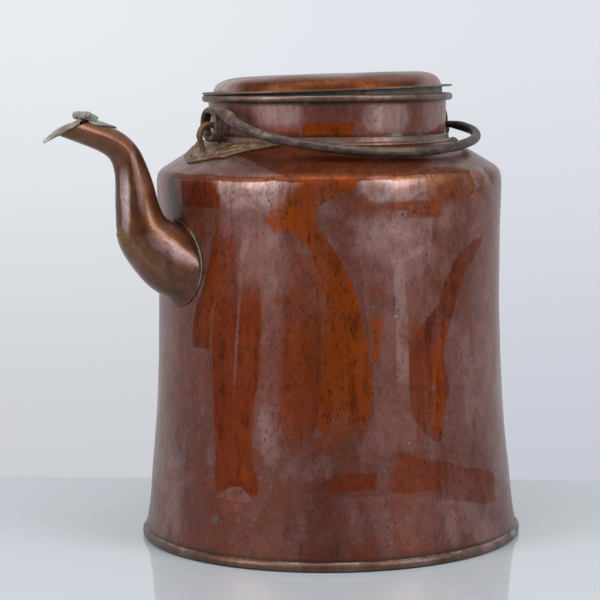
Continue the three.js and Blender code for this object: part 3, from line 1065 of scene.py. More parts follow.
        # green rust, and the dark line and green along a seam
        lichen = net.rise(net.noise(where, 85, 5, 0.7), 0.74, 0.8) * 0.5
        _, _, level = net.split(where)
        for seam in self.seams:
            near = net.rise(net.math("ABSOLUTE", level * 1000 - seam), 3.2, 0.3)
            colour = net.mix(near * (0.4 + cloud * 0.6), colour, Tone.SEAM.value)
            lichen = net.most(lichen, near * net.rise(cloud, 0.58, 0.7) * 0.75)
        colour = net.mix(lichen, colour, Tone.GREEN.value)

        normal = net.bump(net.cells(where, 60, "SMOOTH_F1"), 0.2 * self.facets, 3.0)
        normal = net.bump(cloud, 0.3, 0.9, normal)
        normal = net.bump(fine, 0.16, 0.18, normal)
        normal = net.bump(1 - pits, 0.5, 0.25, normal)
        wiped = net.noise(net.place(turn=20, stretch=(26, 26, 60)), 1, 3, 0.6)
        net.surface(
            {
                "Base Color": colour,
                "Metallic": self.metal + bare * (0.96 - self.metal) - lichen * 0.6,
                "Roughness": 0.32 + bare * 0.06 + wiped * 0.16 + fine * 0.08 + lichen * 0.3,
                "Coat Weight": self.coat - bare * (self.coat * 0.92) - lichen * 0.3,
                "Coat Roughness": 0.13,
                "Normal": normal,
            }
        )
        return made


@dataclass(frozen=True)
class IronFinish:
    """Forged iron rod: grey-brown scale with rust, rubbed high places and painted shade on its far
    end.
    """

    name: str
    scale: Colour = (0.04, 0.026, 0.02)
    rubbed: Colour = (0.125, 0.08, 0.064)
    rust: Colour = (0.13, 0.056, 0.02)
    crust: Colour = (0.27, 0.22, 0.185)
    pit: Colour = (0.018, 0.013, 0.011)
    bright: Colour = (0.24, 0.185, 0.155)
    soot: Colour = (0.016, 0.011, 0.009)
    rusty: float = 0.35

    def material(self) -> bpy.types.Material:
        """Build the material.

        Returns:
            The material.
        """
        made, net = new_net(self.name)
        where = net.place()
        x, _, _ = net.split(where)
        grain = net.noise(net.place(stretch=(60, 260, 260)), 1, 5, 0.65)
        cloud = net.noise(where, 120, 5, 0.65)
        fine = net.noise(where, 620, 4, 0.7)
        spout_end = net.rise(x, -0.06, -0.088)
        shaded_end = net.rise(x, 0.072, 0.094)
        colour = net.mix(net.rise(grain * 0.5 + cloud * 0.5, 0.42, 0.66), self.scale, self.rubbed)
        rusted = net.rise(
            cloud * 0.6 + fine * 0.4 + spout_end * 0.06 + (self.rusty - 0.5) * 0.3, 0.5, 0.62
        )
        colour = net.mix(rusted * (0.25 + spout_end * 0.6), colour, self.rust)
        crust = net.rise(net.noise(where, 210, 4, 0.65), 0.5, 0.62) * spout_end
        colour = net.mix(crust * 0.3, colour, self.crust)
        colour = net.mix(net.rise(fine, 0.55, 0.72) * 0.6, colour, self.pit)
        colour = net.mix(net.rise(fine, 0.42, 0.25) * 0.35, colour, self.bright)
        # painted shade darkens the iron beyond x 72 mm, the bail's far end
        colour = net.mix(shaded_end * 0.7, colour, self.soot)
        normal = net.bump(cloud, 0.4, 0.9)
        normal = net.bump(fine, 0.35, 0.25, normal)
        net.surface(
            {
                "Base Color": colour,
                "Metallic": 0.5 - rusted * 0.4,
                "Roughness": 0.43 + rusted * 0.3 + cloud * 0.12,
                "Normal": normal,
            }
        )
        return made


@dataclass(frozen=True)
class TarnishFinish:
    """Dull tarnished plate: ochre-grey with brown stains and green in the hollows."""

    name: str
    dull: Colour = (0.16, 0.1, 0.052)
    stain: Colour = (0.085, 0.033, 0.012)
    pale: Colour = (0.33, 0.25, 0.17)
    green: Colour = (0.16, 0.2, 0.16)
    pit: Colour = (0.035, 0.025, 0.019)
    metal: float = 0.4
    greenness: float = 0.05

    def material(self) -> bpy.types.Material:
        """Build the material.

        Returns:
            The material.
        """
        made, net = new_net(self.name)
        where = net.place()
        cloud = net.noise(where, 110, 5, 0.65)
        broad = net.noise(where, 40, 3)
        fine = net.noise(where, 700, 4, 0.7)
        colour = net.mix(net.rise(cloud * 0.6 + broad * 0.4, 0.38, 0.56), self.stain, self.dull)
        colour = net.mix(net.rise(fine * 0.5 + cloud * 0.5, 0.51, 0.63) * 0.8, colour, self.pale)
        mossy = net.rise(broad * 0.5 + fine * 0.5 + (self.greenness - 0.5) * 0.2, 0.46, 0.56)
        colour = net.mix(mossy * 0.5, colour, self.green)
        colour = net.mix(net.rise(fine, 0.58, 0.75) * 0.6, colour, self.pit)
        normal = net.bump(cloud, 0.4, 0.7)
        normal = net.bump(fine, 0.3, 0.2, normal)
        net.surface(
            {
                "Base Color": colour,
                "Metallic": self.metal - mossy * 0.3,
                "Roughness": 0.42 + mossy * 0.2 + fine * 0.12,
                "Normal": normal,
            }
        )
        return made


SHARP = (0.6, 0.6, 2.0, 2.0)

# Most strokes are painted reflections: pale, lilac, mauve, grey and cream bright, orange and red
# dark.
VESSEL_STROKES = (
    # painted shade, darkening the lower front of the wall
    Stroke(
        Tone.DUSK, ((6, -95, 95), (50, -95, 95), (110, -95, 95)),
        depth=0.55, soft=(1, 1, 1, 70),
    ),
    # the arch in the middle, a painted dark reflection: streaky inside, sharp and deep along its
    # right edge
    Stroke(
        Tone.ORANGE,
        (
            (88, -14, 4), (130, -16, 2), (165, -13, 1), (200, -12, -2), (220, -11, -5),
            (229, -11, -8),
        ),
        depth=0.72, soft=(5, 4, 40, 5), streaked=0.55,
    ),
    Stroke(
        Tone.RED, ((92, -19, -3), (130, -21.5, -2), (160, -21, -3), (190, -17, -5), (214, -15, -8)),
        depth=0.75, soft=(4, 4, 44, 40), streaked=0.3, mottled=0.4,
    ),
    Stroke(
        Tone.ORANGE, ((96, -17, -7), (130, -18, -6), (168, -15, -6)),
        depth=0.5, soft=(3, 3, 40, 30), streaked=0.7, mottled=0.3,
    ),
    Stroke(
        Tone.ORANGE,
        (
            (98, -4.5, 10.3), (114, -3.5, 11.7), (126, -3.2, 12.7), (137, -2.5, 12.1),
            (151, -2.2, 11.3), (165, -2, 9.8), (179, -1.6, 8.8), (192, -2.4, 6.8), (204, -4, 4.4),
            (213, -6, 2.7), (222, -7.5, 0.2), (227, -10, -1.3), (235, -12, -4.6),
            (240, -13.4, -6.4), (247, -15, -8),
        ),
        soft=(3.5, 0.6, 34, 5), streaked=0.12,
    ),
    # the deep stripe and the pointed red arch above it, painted dark reflections, with painted pale
    # lines and sheen
    Stroke(
        Tone.RED,
        (
            (50, -37.9, -23), (61, -38.6, -23.1), (74.6, -38.8, -25.6), (102, -39.8, -25.6),
            (130, -41, -23.6), (151, -41.1, -23), (171, -40, -22.6), (186, -38.5, -22),
        ),
        depth=0.97, soft=(0.5, 0.6, 2.5, 34), streaked=0.1,
    ),
    Stroke(
        Tone.MAUVE, ((46, -37, -25), (51, -35, -26.5), (55, -32, -29)),
        depth=0.9, soft=(2, 1, 1, 1.5),
    ),
    Stroke(
        Tone.RED,
        ((160, -42, -23), (190, -38.8, -22), (205, -37.8, -23), (222, -36, -30), (237, -34, -31)),
        depth=0.6, soft=(1, 3, 24, 6), streaked=0.6,
    ),
    Stroke(
        Tone.RED,
        (
            (149, -50.6, -41.9), (164, -50.2, -42), (178, -48.2, -41), (190, -45.5, -38.7),
            (202, -43.1, -37.8), (213, -41.4, -37.6), (229, -39.1, -36), (238, -35.7, -33.4),
            (242, -34.7, -34),
        ),
        depth=0.95, soft=(0.6, 1.4, 1.5, 2), streaked=0.1,
    ),
    Stroke(
        Tone.LILAC,
        (
            (122, -32.4, -32.1), (150, -31.8, -31.2), (170, -31, -30.2), (191, -30.4, -29.3),
            (210, -29.8, -28.3), (222, -29.6, -26.4), (236, -31, -23.5),
        ),
        depth=0.42, soft=(0.8, 1.2, 30, 8), streaked=0.2,
    ),
    Stroke(
        Tone.ORANGE, ((160, -47, -39), (200, -42, -35), (238, -38, -31)),
        depth=0.4, soft=(2, 3, 20, 10), mottled=0.3,
    ),
    Stroke(
        Tone.LILAC, ((196, -31, -18), (215, -31, -17), (244, -33, -18)),
        depth=0.5, soft=(4, 5, 20, 12), mottled=0.4,
    ),
    Stroke(
        Tone.MAUVE, ((110, -22.5, -17), (175, -22, -15), (225, -27, -14)),
        depth=0.6, soft=(1, 4, 30, 20), streaked=0.3,
    ),
    # the band under the shoulder's edge, from left to right, with two painted highlights and
    # painted mauve sheen
    Stroke(
        Tone.MAUVE, ((226, -38, -20), (243, -37, -18), (256, -37, -16)),
        depth=0.8, soft=(3, 5, 18, 2),
    ),
    Stroke(
        Tone.ORANGE,
        (
            (232, -17.5, -6.4), (240, -20, -4.2), (249, -20, -3.9), (257, -18, 2.9), (262, -13, 8),
            (269, -10, 9.5),
        ),
        depth=0.92, soft=(1.6, 1.6, 5, 1), streaked=0.25,
    ),
    Stroke(
        Tone.RED, ((246.5, -55, -36.3), (255, -55, -36.5), (264.5, -55, -36.2)),
        depth=0.95, soft=SHARP, streaked=0.2,
    ),
    Stroke(
        Tone.PALE, ((247, -33, -16), (255, -36, -14), (260, -37.5, -12), (265.8, -38.3, -10.5)),
        depth=0.72, soft=(3, 6, 17, 1), streaked=0.2, mottled=0.6,
    ),
    Stroke(
        Tone.UMBER, ((265.6, -64, 12), (267.4, -64, 12), (269.6, -64, 12)),
        depth=0.7, soft=(3, 3, 1, 1), mottled=0.5,
    ),
    Stroke(
        Tone.PALE,
        ((251, 13, 25), (254, 11.5, 27), (257, 10.5, 30), (259, 9.5, 33.5), (266, 8.6, 31.5)),
        depth=0.85, soft=(3, 1.6, 6, 0.8), streaked=0.25, mottled=0.55,
    ),
    Stroke(
        Tone.ORANGE, ((239.5, 24.6, 38), (245, 24, 38), (246, 18, 38), (251.5, 18, 37.8)),
        depth=0.85, soft=SHARP, streaked=0.3,
    ),
    Stroke(
        Tone.ORANGE, ((250, 33, 57), (260, 31, 60), (269, 31, 60)),
        depth=0.75, soft=(2, 3, 9, 1), streaked=0.3, mottled=0.6,
    ),
    Stroke(
        Tone.OCHRE, ((256, 24, 55), (262, 22, 56), (269, 20, 58)),
        depth=0.75, soft=(3, 4, 4, 1), streaked=0.4, mottled=1.0,
    ),
    # the painted reflections on the facets, and pale runs of painted sheen right of the arch
    Stroke(
        Tone.MAUVE, ((104, 13, 25), (150, 12, 25), (200, 9.5, 32), (240, 6, 34)),
        depth=0.7, soft=(0.7, 1, 16, 4), streaked=0.2,
    ),
    Stroke(
        Tone.LILAC, ((208, 11.5, 22), (224, 11.5, 33.6), (239, 13, 33.5)),
        depth=0.6, soft=(2, 1.2, 8, 3), streaked=0.2, mottled=0.6,
    ),
    Stroke(
        Tone.LILAC, ((128, 20.6, 24.8), (165, 20.6, 24.6), (210, 19.6, 23.5)),
        depth=0.62, soft=(0.6, 0.5, 8, 12), streaked=0.15,
    ),
    Stroke(
        Tone.ORANGE, ((141, 12.5, 14.7), (155, 12.2, 15.4), (172, 11.6, 16)),
        depth=0.85, soft=SHARP, streaked=0.2,
    ),
    Stroke(
        Tone.MAUVE, ((80, 8, 30), (92, 10, 28), (106, 13, 25.5)),
        depth=0.65, soft=(5, 4, 12, 3),
    ),
    # the second arch's left limb, a painted dark reflection, with painted mauve sheen beside it
    Stroke(
        Tone.RED,
        (
            (84, 34, 36.5), (94, 29, 37), (103, 25.8, 37.5), (122, 25.1, 40), (142, 24.9, 38.4),
            (159, 27, 40.4), (169, 31, 42), (178, 35.5, 43.5), (189, 37.5, 45.6), (201, 41.1, 49.3),
            (213, 45.8, 55.3), (222, 54, 59),
        ),
        depth=0.86, soft=(0.6, 0.6, 3, 3), streaked=0.3,
    ),
    Stroke(
        Tone.ORANGE, ((92, 33, 36.8), (112, 33.4, 38), (142, 34, 38.2), (168, 38, 41.5)),
        depth=0.85, soft=SHARP, streaked=0.1,
    ),
    Stroke(
        Tone.MAUVE, ((70, 40, 66), (150, 41, 66), (205, 56, 67)),
        depth=0.5, soft=(1, 6, 20, 10), streaked=0.2,
    ),
    # the low band, a painted dark reflection, with painted mauve sheen below
    Stroke(
        Tone.RED,
        (
            (34, 53, 61), (42.6, 40, 61), (49, 24, 62), (54, 17, 60), (58.5, 17, 52.8),
            (65, 18, 43), (72, 19, 31.9), (77, 19.5, 24.5), (80, 19.3, 20.6),
        ),
        depth=0.72, soft=(4, 0.8, 1.5, 1.5), streaked=0.2,
    ),
    Stroke(
        Tone.RED, ((54.8, -3, 12.9), (60, -4, 13.2), (67, 2, 13.6)),
        depth=0.85, soft=(9, 0.5, 1.4, 3), streaked=0.1,
    ),
    Stroke(
        Tone.MAUVE, ((20, -5, 42), (36, 0, 40), (50, 4, 34)),
        depth=0.55, soft=(8, 8, 10, 1.5), streaked=0.2,
    ),
    # both sides and the shoulder in painted grey and cream reflections, the drip, and the smear by
    # the spout
    Stroke(
        Tone.GREY, ((8, -95, -62), (120, -95, -65), (262, -95, -64)),
        depth=0.3, soft=(1, 14, 1, 1), streaked=0.2,
    ),
    Stroke(
        Tone.GREY, ((8, 72, 95), (120, 74, 95), (240, 68, 95), (266, 62, 95)),
        depth=0.36, soft=(12, 1, 1, 1),
    ),
    Stroke(
        Tone.CREAM, ((190, 80, 100), (240, 78, 100), (268, 76, 100)),
        depth=0.35, soft=(9, 1, 40, 1),
    ),
    Stroke(
        Tone.UMBER, ((268.5, -60, 80), (278, -60, 80), (292, -60, 80)),
        depth=0.92, soft=(14, 16, 1.2, 2), streaked=0.2,
    ),
    Stroke(
        Tone.GREY,
        (
            (269, -100, -15), (272, -100, -19), (275, -100, -24), (279, -100, -31),
            (286, -100, -46), (292, -100, -52),
        ),
        depth=0.85, soft=(1, 6, 0.8, 1), mottled=0.25,
    ),
    Stroke(
        Tone.GREY,
        (
            (268, 58, 100), (271, 52, 100), (275, 36, 100), (279, 42, 100), (285, 52, 100),
            (292, 60, 100),
        ),
        depth=0.75, soft=(9, 1, 3, 1),
    ),
    # the drip: a grey tongue with a painted highlight on its left and painted shadow on its right
    Stroke(
        Tone.GREY, ((257, 54.6, 56.4), (262, 53.4, 59.2), (271, 53, 62.5)),
        depth=0.7, soft=(0.8, 0.8, 1.5, 1.5),
    ),
    Stroke(
        Tone.LILAC, ((258, 54.4, 55.4), (263, 52.8, 54), (269, 52.4, 53.6)),
        depth=0.6, soft=(0.6, 0.8, 3, 3),
    ),
    Stroke(
        Tone.SOOT, ((257, 56.2, 57.2), (263, 59.4, 60.8), (270, 62.2, 64)),
        depth=0.8, soft=(0.4, 0.6, 2, 1),
    ),
    # the dark smear beside the spout: painted shadow, and soot
    Stroke(
        Tone.SOOT,
        ((232, -58, -53), (243, -62, -54.5), (250, -64, -56), (258, -66, -58), (268, -68, -61)),
        depth=0.9, soft=(5, 3.5, 6, 8),
    ),
)

VESSEL_SPOTS = (
    (-4.5, 94.2, 3.2), (-37.3, 30.5, 3.2), (0.4, 243, 3.2), (-7.7, 217.7, 2.4), (34, 122, 2.4),
    (-56, 69, 3),
)

# The two pale strokes are painted highlights.
NECK_STROKES = (
    Stroke(
        Tone.PALE, ((302, -36, -14), (309, -37, -12), (317, -36, -14)),
        depth=0.4, soft=(6, 5, 6, 4), streaked=0.4,
    ),
    Stroke(
        Tone.PALE, ((299, 17, 38), (308, 15, 40), (317, 17, 38)),
        depth=0.5, soft=(3, 6, 6, 4), streaked=0.5,
    ),
    Stroke(
        Tone.ORANGE, ((294.4, -12.5, 12), (299, -12.5, 12), (304, -12.2, 12)),
        soft=(0.8, 0.8, 1, 0.8), streaked=0.1,
    ),
    Stroke(
        Tone.ORANGE, ((292, 50, 66), (296, 56, 78), (301, 70, 80)),
        depth=0.9, soft=(2, 1, 1, 1),
    ),
    Stroke(
        Tone.RED, ((292, -26, -14), (295, -26, -14), (298, -24, -14)),
        depth=0.8, soft=(2, 2, 1, 1),
    ),
)

# The pale and lilac strokes are painted highlights at the crown's ends.
LID_STROKES = (
    Stroke(
        Tone.BROWN, ((322, -48, 46), (329, -50, 50), (333, -50, 52)),
        soft=(14, 16, 1, 4), streaked=0.1,
    ),
    Stroke(
        Tone.UMBER, ((324, -38, 44), (329, -42, 40), (332, -40, 34)),
        depth=0.4, soft=(8, 10, 1, 3), streaked=0.1, mottled=0.3,
    ),
    Stroke(
        Tone.PALE, ((326, -95, -54), (330, -95, -56), (333, -95, -58)),
        depth=0.85, soft=(20, 12, 2, 4), streaked=0.3,
    ),
    Stroke(
        Tone.LILAC, ((327, 50, 95), (332, 54, 95), (336.5, 58, 95)),
        depth=0.5, soft=(14, 20, 2, 4), streaked=0.3,
    ),
)

# Pale and lilac strokes: painted highlights on tube and bulb; the brown bands flanking the tube's
# are painted dark reflections.
SPOUT_STROKES = (
    Stroke(
        Tone.BROWN, ((228, -137, -124), (250, -137.5, -127), (284, -140, -130)),
        depth=0.55, soft=(3, 4, 8, 8),
    ),
    Stroke(
        Tone.BROWN, ((226, -152, -144), (250, -152, -145), (276, -152, -145)),
        depth=0.4, soft=(1, 2, 8, 8),
    ),
    Stroke(
        Tone.PALE, ((229, -143, -138.5), (250, -144, -138.2), (271, -145, -138.8)),
        depth=0.85, soft=(2, 2.6, 12, 12), mottled=0.2,
    ),
    Stroke(
        Tone.LILAC, ((206, -104, -90), (213, -113, -94), (221, -123, -105), (229, -127, -119)),
        depth=0.9, soft=(5, 4, 7, 5), mottled=0.35,
    ),
    Stroke(
        Tone.PALE, ((209, -104, -95), (215, -110, -99), (220, -116, -108)),
        depth=0.6, soft=(4, 4, 5, 4), mottled=0.5,
    ),
    Stroke(
        Tone.OCHRE, ((223, -147, -139), (229, -147, -139), (234, -146, -140)),
        depth=0.6, soft=(3, 3, 4, 4),
    ),
    Stroke(
        Tone.BROWN, ((176, -140, -80), (190, -142, -80), (200, -146, -80)),
        depth=0.45, soft=(8, 1, 1, 14), mottled=0.2,
    ),
    Stroke(
        Tone.LILAC, ((246, -131, -127.5), (262, -134, -130.5), (284, -138, -134)),
        depth=0.6, soft=(1.6, 1.6, 12, 10),
    ),
)

# The cream line round the top of the bead is a painted highlight; the green is verdigris.
FOOT_STROKES = (
    Stroke(
        Tone.CREAM, ((6.5, -100, 100), (7, -100, 100), (8, -100, 100)),
        depth=0.75, soft=(1, 1, 0.4, 1), streaked=0.8,
    ),
    Stroke(Tone.GREEN, ((2, 69, 73), (4, 68, 74), (6, 70, 73)), depth=0.8, soft=(1, 1, 1, 1)),
)

FLANGE_STROKES = (
    Stroke(
        Tone.SOOT, ((26, -90, 90), (29, -90, 90), (31.3, -90, 90)),
        depth=0.6, soft=(1, 1, 1, 1),
    ),
    Stroke(
        Tone.GREEN, ((32.3, -90, 90), (33, -90, 90), (36, -90, 90)),
        depth=0.8, soft=(1, 1, 0.7, 1), streaked=0.3,
    ),
)


@dataclass(frozen=True)
class Finishes:
    """All the finishes of the kettle, each made once."""

    vessel: bpy.types.Material
    neck: bpy.types.Material
    lid: bpy.types.Material
    foot: bpy.types.Material
    trim: bpy.types.Material
    flange: bpy.types.Material
    spout: bpy.types.Material
    iron: bpy.types.Material
    rusty_iron: bpy.types.Material
    plate: bpy.types.Material
    rivet: bpy.types.Material
    tinned: bpy.types.Material
    sleeve: bpy.types.Material

    @classmethod
    def mixed(cls) -> "Finishes":
        """Make every finish.

        Returns:
            All of them.
        """
        dull_skin = {
            "skin": (0.085, 0.046, 0.031),
            "painted_sheen": (0.16, 0.115, 0.094),
            "coat": 0.1,
            "speckle": 0.3,
            "facets": 0.2,
        }
        recipes = {
            "vessel": CopperFinish(
                "copper_vessel", strokes=VESSEL_STROKES, spots=VESSEL_SPOTS, seams=(FOOT_TOP,)
            ),
            "neck": CopperFinish(
                "copper_neck",
                strokes=NECK_STROKES,
                sheen_share=0.75,
                seams=(RIM_FOOT, RING_TOP),
                speckle=0.5,
            ),
            "lid": CopperFinish(
                "copper_lid",
                skin=(0.11, 0.034, 0.014),
                strokes=LID_STROKES,
                facets=0.3,
                speckle=0.5,
                metal=0.66,
            ),
            "foot": CopperFinish("copper_foot", strokes=FOOT_STROKES, **dull_skin),
            "trim": CopperFinish("copper_trim", sheen_share=0.6, **dull_skin),
            "flange": CopperFinish(
                "copper_flange", chart=Chart.DISC, strokes=FLANGE_STROKES, facets=0.1
            ),
            "spout": CopperFinish(
                "copper_spout",
                skin=(0.14, 0.048, 0.014),
                painted_sheen=(0.17, 0.078, 0.04),
                chart=Chart.SIDE,
                strokes=SPOUT_STROKES,
                sheen_share=0.4,
                facets=0.35,
                speckle=0.3,
                coat=0.45,
            ),
            "iron": IronFinish("iron_rod"),
            "rusty_iron": IronFinish(
                "iron_wire", rust=(0.17, 0.068, 0.018), crust=(0.13, 0.1, 0.09), rusty=0.55
            ),
            "plate": TarnishFinish("tarnished_plate"),
            "rivet": TarnishFinish(
                "brown_rivet",
                dull=(0.13, 0.05, 0.022),
                stain=(0.05, 0.018, 0.008),
                pale=(0.27, 0.15, 0.085),
                greenness=-0.6,
            ),
            "tinned": TarnishFinish(
                "worn_tinning",
                dull=(0.3, 0.275, 0.235),
                stain=(0.15, 0.12, 0.09),
                pale=(0.52, 0.48, 0.45),
                metal=0.5,
                greenness=0.4,
            ),
            "sleeve": TarnishFinish(
                "green_sleeve",
                dull=(0.2, 0.17, 0.135),
                stain=(0.09, 0.065, 0.045),
                greenness=0.4,
            ),
        }
        return cls(**{piece: finish.material() for piece, finish in recipes.items()})


WALL_ROW = (
    (137.2, 6.4), (136.9, 9), (135.1, 20), (132.3, 48), (129.2, 80), (126.9, 116), (125.4, 168),
    (125.7, 220), (126.1, 250), (126.2, 259), (125.9, 263.4), (124.9, 267), (122.8, 269.7),
    (118, 272.8), (104.5, 281), (90, 289.1), (85.2, 291.7),
)


# Angle in degrees as photographed, height, outward move and reach in millimetres.
VESSEL_DENTS = (
    (57.5, 265, 2.4, 9), (51, 264, -1.6, 7), (64.5, 264, -1.8, 7), (56, 254, -1.0, 7),
    (72, 262, 1.2, 48), (-78, 262, -1.3, 48), (-25, 254, 0.9, 20), (21, 253, 0.9, 18),
    (14, 232, -0.5, 8), (19, 228, 0.5, 8), (24, 233, -0.5, 8), (29, 227, 0.5, 8), (16, 217, 0.5, 8),
    (22, 215, -0.5, 9), (28, 214, 0.4, 8), (0, 150, 0.7, 46), (36, 150, -0.8, 34),
    (14, 100, 0.8, 26), (10, 64, -0.8, 24), (-31, 48, -0.8, 18), (-20, 84, 0.6, 22),
    (150, 190, -1.0, 38), (-150, 90, -0.9, 32),
)


@dataclass
class Vessel:
    """The wall, shoulder, neck, mouth and foot of the kettle."""

    sheet: float = 1.5
    wall_row: tuple[Point, ...] = WALL_ROW
    spout_hole: float = 21.0
    facing: float = 30.0
    dents: tuple[Point, ...] = VESSEL_DENTS
    shell: bpy.types.Object = field(init=False)

    def build(self, finishes: Finishes) -> None:
        """Build and dress all of it.

        Args:
            finishes: The kettle's finishes.
        """
        self.shell = self.make_shell()
        cover = ["body_wall", "shoulder"]
        Bench.deliver(self.shell, finishes.vessel, Body.KETTLE, Slot.COPPER, cover)
        Bench.deliver(self.make_foot(), finishes.foot, Body.KETTLE, Slot.COPPER, ["base_plate"])
        Bench.deliver(self.make_neck(), finishes.neck, Body.KETTLE, Slot.COPPER, ["neck_collar"])
        rings = ["neck_foot_ring_front", "neck_foot_ring_back"]
        Bench.deliver(self.make_neck_ring(), finishes.trim, Body.KETTLE, Slot.COPPER, rings)
        Bench.deliver(self.make_rim(), finishes.trim, Body.KETTLE, Slot.COPPER, ["rim_bead"])

    def make_shell(self) -> bpy.types.Object:
        """Draw up the wall and shoulder as one beaten sheet, with the hole behind the spout.

        Returns:
            The sheet.
        """
        shell = Bench.spun("vessel_shell", through(self.wall_row, 3.2))
        Bench.face(shell, Vector((0, 0, 1)))
        free = Bench.held(shell, self.freedom)
        Bench.ripple(shell, 62, 1.1, free, depths=2)
        Bench.ripple(shell, 17, 0.22, free)
        for angle, height, outward, reach in self.dents:
            turn = math.radians(angle - self.facing)
            way = Vector((math.sin(turn), -math.cos(turn), 0))
            at = way * 126 + Vector((0, 0, height))
            Bench.press(shell, at, way * outward, reach)
        Bench.thicken(shell, self.sheet)
        Bench.clear()
        bpy.ops.mesh.primitive_cylinder_add(
            vertices=64,
            radius=self.spout_hole * MM,
            depth=60 * MM,
            location=mm(-128, 0, SPOUT_ROOT),
            rotation=(0, math.pi / 2, 0),
        )
        Bench.cut(shell, bpy.context.object)
        return shell

    @staticmethod
    def freedom(place: Vector) -> float:
        """Say how far the sheet may wander at a place: not at its foot or its neck.

        Args:
            place: The place in metres.

        Returns:
            The share, from 0 to 1.
        """
        height = place.z / MM
        radius = math.hypot(place.x, place.y) / MM
        return max(0.0, min(1.0, (height - 9) / 24, (radius - 88) / 20))

    @staticmethod
    def make_foot() -> bpy.types.Object:
        """Turn the base disc with its edge folded up into a bead.

        Returns:
            The foot.
        """
        bead = through(
            [
                (136.4, 0), (138.7, 0.5), (139.8, 1.9), (140, 3.3), (139.5, 5.1), (138.3, 6.5),
                (136.7, 6.9), (135.2, 6.4), (134.2, 4.8), (133.6, 1.8),
            ],
            0.8,
        )
        return Bench.spun("base_foot", [(0, 0), (70, 0), *bead, (70, 1.8), (0, 1.8)])

    @staticmethod
    def make_neck() -> bpy.types.Object:
        """Turn the collar, which widens a little towards the mouth.

        Returns:
            The collar.
        """
        outer = through([(86.3, 290.6), (86.35, 300), (86.6, 312), (86.9, 323.1)], 2.4)
        inner = [(r - 1.2, z) for r, z in reversed(outer)]
        return Bench.spun("neck_collar_shell", [*outer, *inner, outer[0]])

    @staticmethod
    def make_neck_ring() -> bpy.types.Object:
        """Turn the stepped solder ring round the foot of the neck.

        Returns:
            The ring.
        """
        profile = [
            (86.5, 290.2), (91.4, 288.6), (91.2, 289.5), (90.5, 290.1), (89.1, 290.6),
            (88.7, 291.3), (88.5, 292.6), (88.1, 293.7), (87.3, 294.2), (86.5, 294.3),
            (86.5, 290.2),
        ]
        return Bench.spun("neck_foot_step", profile)

    @staticmethod
    def make_rim() -> bpy.types.Object:
        """Turn the wired edge round the mouth.

        Returns:
            The rolled edge.
        """
        middle, height, wide, tall = 89.2, 320.75, 2.25, 2.6
        turns = [math.radians(degrees) for degrees in range(0, 360, 15)]
        profile = [(middle + wide * math.cos(t), height + tall * math.sin(t)) for t in turns]
        return Bench.spun("rim_roll", [*profile, profile[0]])


@dataclass
class Lid:
    """The cocked lid: flange, low dome and the sleeve that plugs the neck."""

    radius: float = 91.3
    tilt: float = 1.4
    cocked: Point = (-0.5, -0.866, 0)
    rim_top: float = 323.4
    gap: float = 0.3

    @property
    def where(self) -> Matrix:
        """The lid's place on the rim.

        Returns:
            The place.
        """
        tilt = math.radians(self.tilt)
        lift = (self.rim_top + self.gap + self.radius * math.sin(tilt)) * MM
        axis = Vector(self.cocked).normalized()
        return Matrix.Translation((0, 0, lift)) @ Matrix.Rotation(tilt, 4, axis)

    def build(self, finishes: Finishes) -> None:
        """Build and dress the lid.

        Args:
            finishes: The kettle's finishes.
        """
        Bench.deliver(self.make_pan(), finishes.lid, Body.LID, Slot.COPPER, ["lid_pan"])
        Bench.deliver(self.make_sleeve(), finishes.sleeve, Body.LID, Slot.COPPER, ["lid_plug"])
        Bench.deliver(self.make_lip(), finishes.trim, Body.LID, Slot.COPPER)

    def make_pan(self) -> bpy.types.Object:
        """Turn the pan in one sheet, then dent its crown.

        Returns:
            The pan in its place.
        """
        dome = through(
            [
                (83.6, 1.0), (83.1, 2.4), (82.3, 4.4), (80.1, 7.3), (75.8, 9.7), (69.6, 11.1),
                (58, 11.7), (30, 11.8), (0, 11.85),
            ],
            2.2,
        )
        under = [(0, 10.3), (30, 10.25), (58, 10.1), (69, 9.5), (75, 8.2), (79, 6.1)]
        flange = [(81.2, 2.2), (81.6, 0.0), (90.6, 0.0), (90.6, 0.9), (84.4, 0.95)]
        pan = Bench.spun("lid_crown", [*under, *flange, *dome])
        free = Bench.held(pan, lambda p: max(0.0, min(1.0, (81 - math.hypot(p.x, p.y) / MM) / 16)))
        Bench.ripple(pan, 46, 0.8, free)
        Bench.press(pan, (-62, 8, 12), (0, 0, -1.5), 52)
        Bench.press(pan, (-20, -55, 12), (0, 0, -0.8), 40)
        Bench.place(pan, self.where)
        return pan

    def make_lip(self) -> bpy.types.Object:
        """Turn the thin folded edge of the flange.

        Returns:
            The lip in its place.
        """
        profile = [
            (90.4, -0.05), (91.1, 0.05), (91.3, 0.5), (91.25, 1.0), (90.8, 1.3), (90.2, 1.25),
            (89.9, 0.95), (90.4, -0.05),
        ]
        lip = Bench.spun("lid_lip", profile)
        Bench.place(lip, self.where)
        return lip

    def make_sleeve(self) -> bpy.types.Object:
        """Turn the sleeve under the flange.

        Returns:
            The sleeve in its place.
        """
        outer = [(83.6, -14.9), (83.9, -10), (84.0, -0.3)]
        inner = [(82.8, -0.3), (82.7, -10), (82.7, -15), (83.3, -15)]
        sleeve = Bench.spun("lid_sleeve", [*outer, *inner, outer[0]])
        Bench.place(sleeve, self.where)
        return sleeve


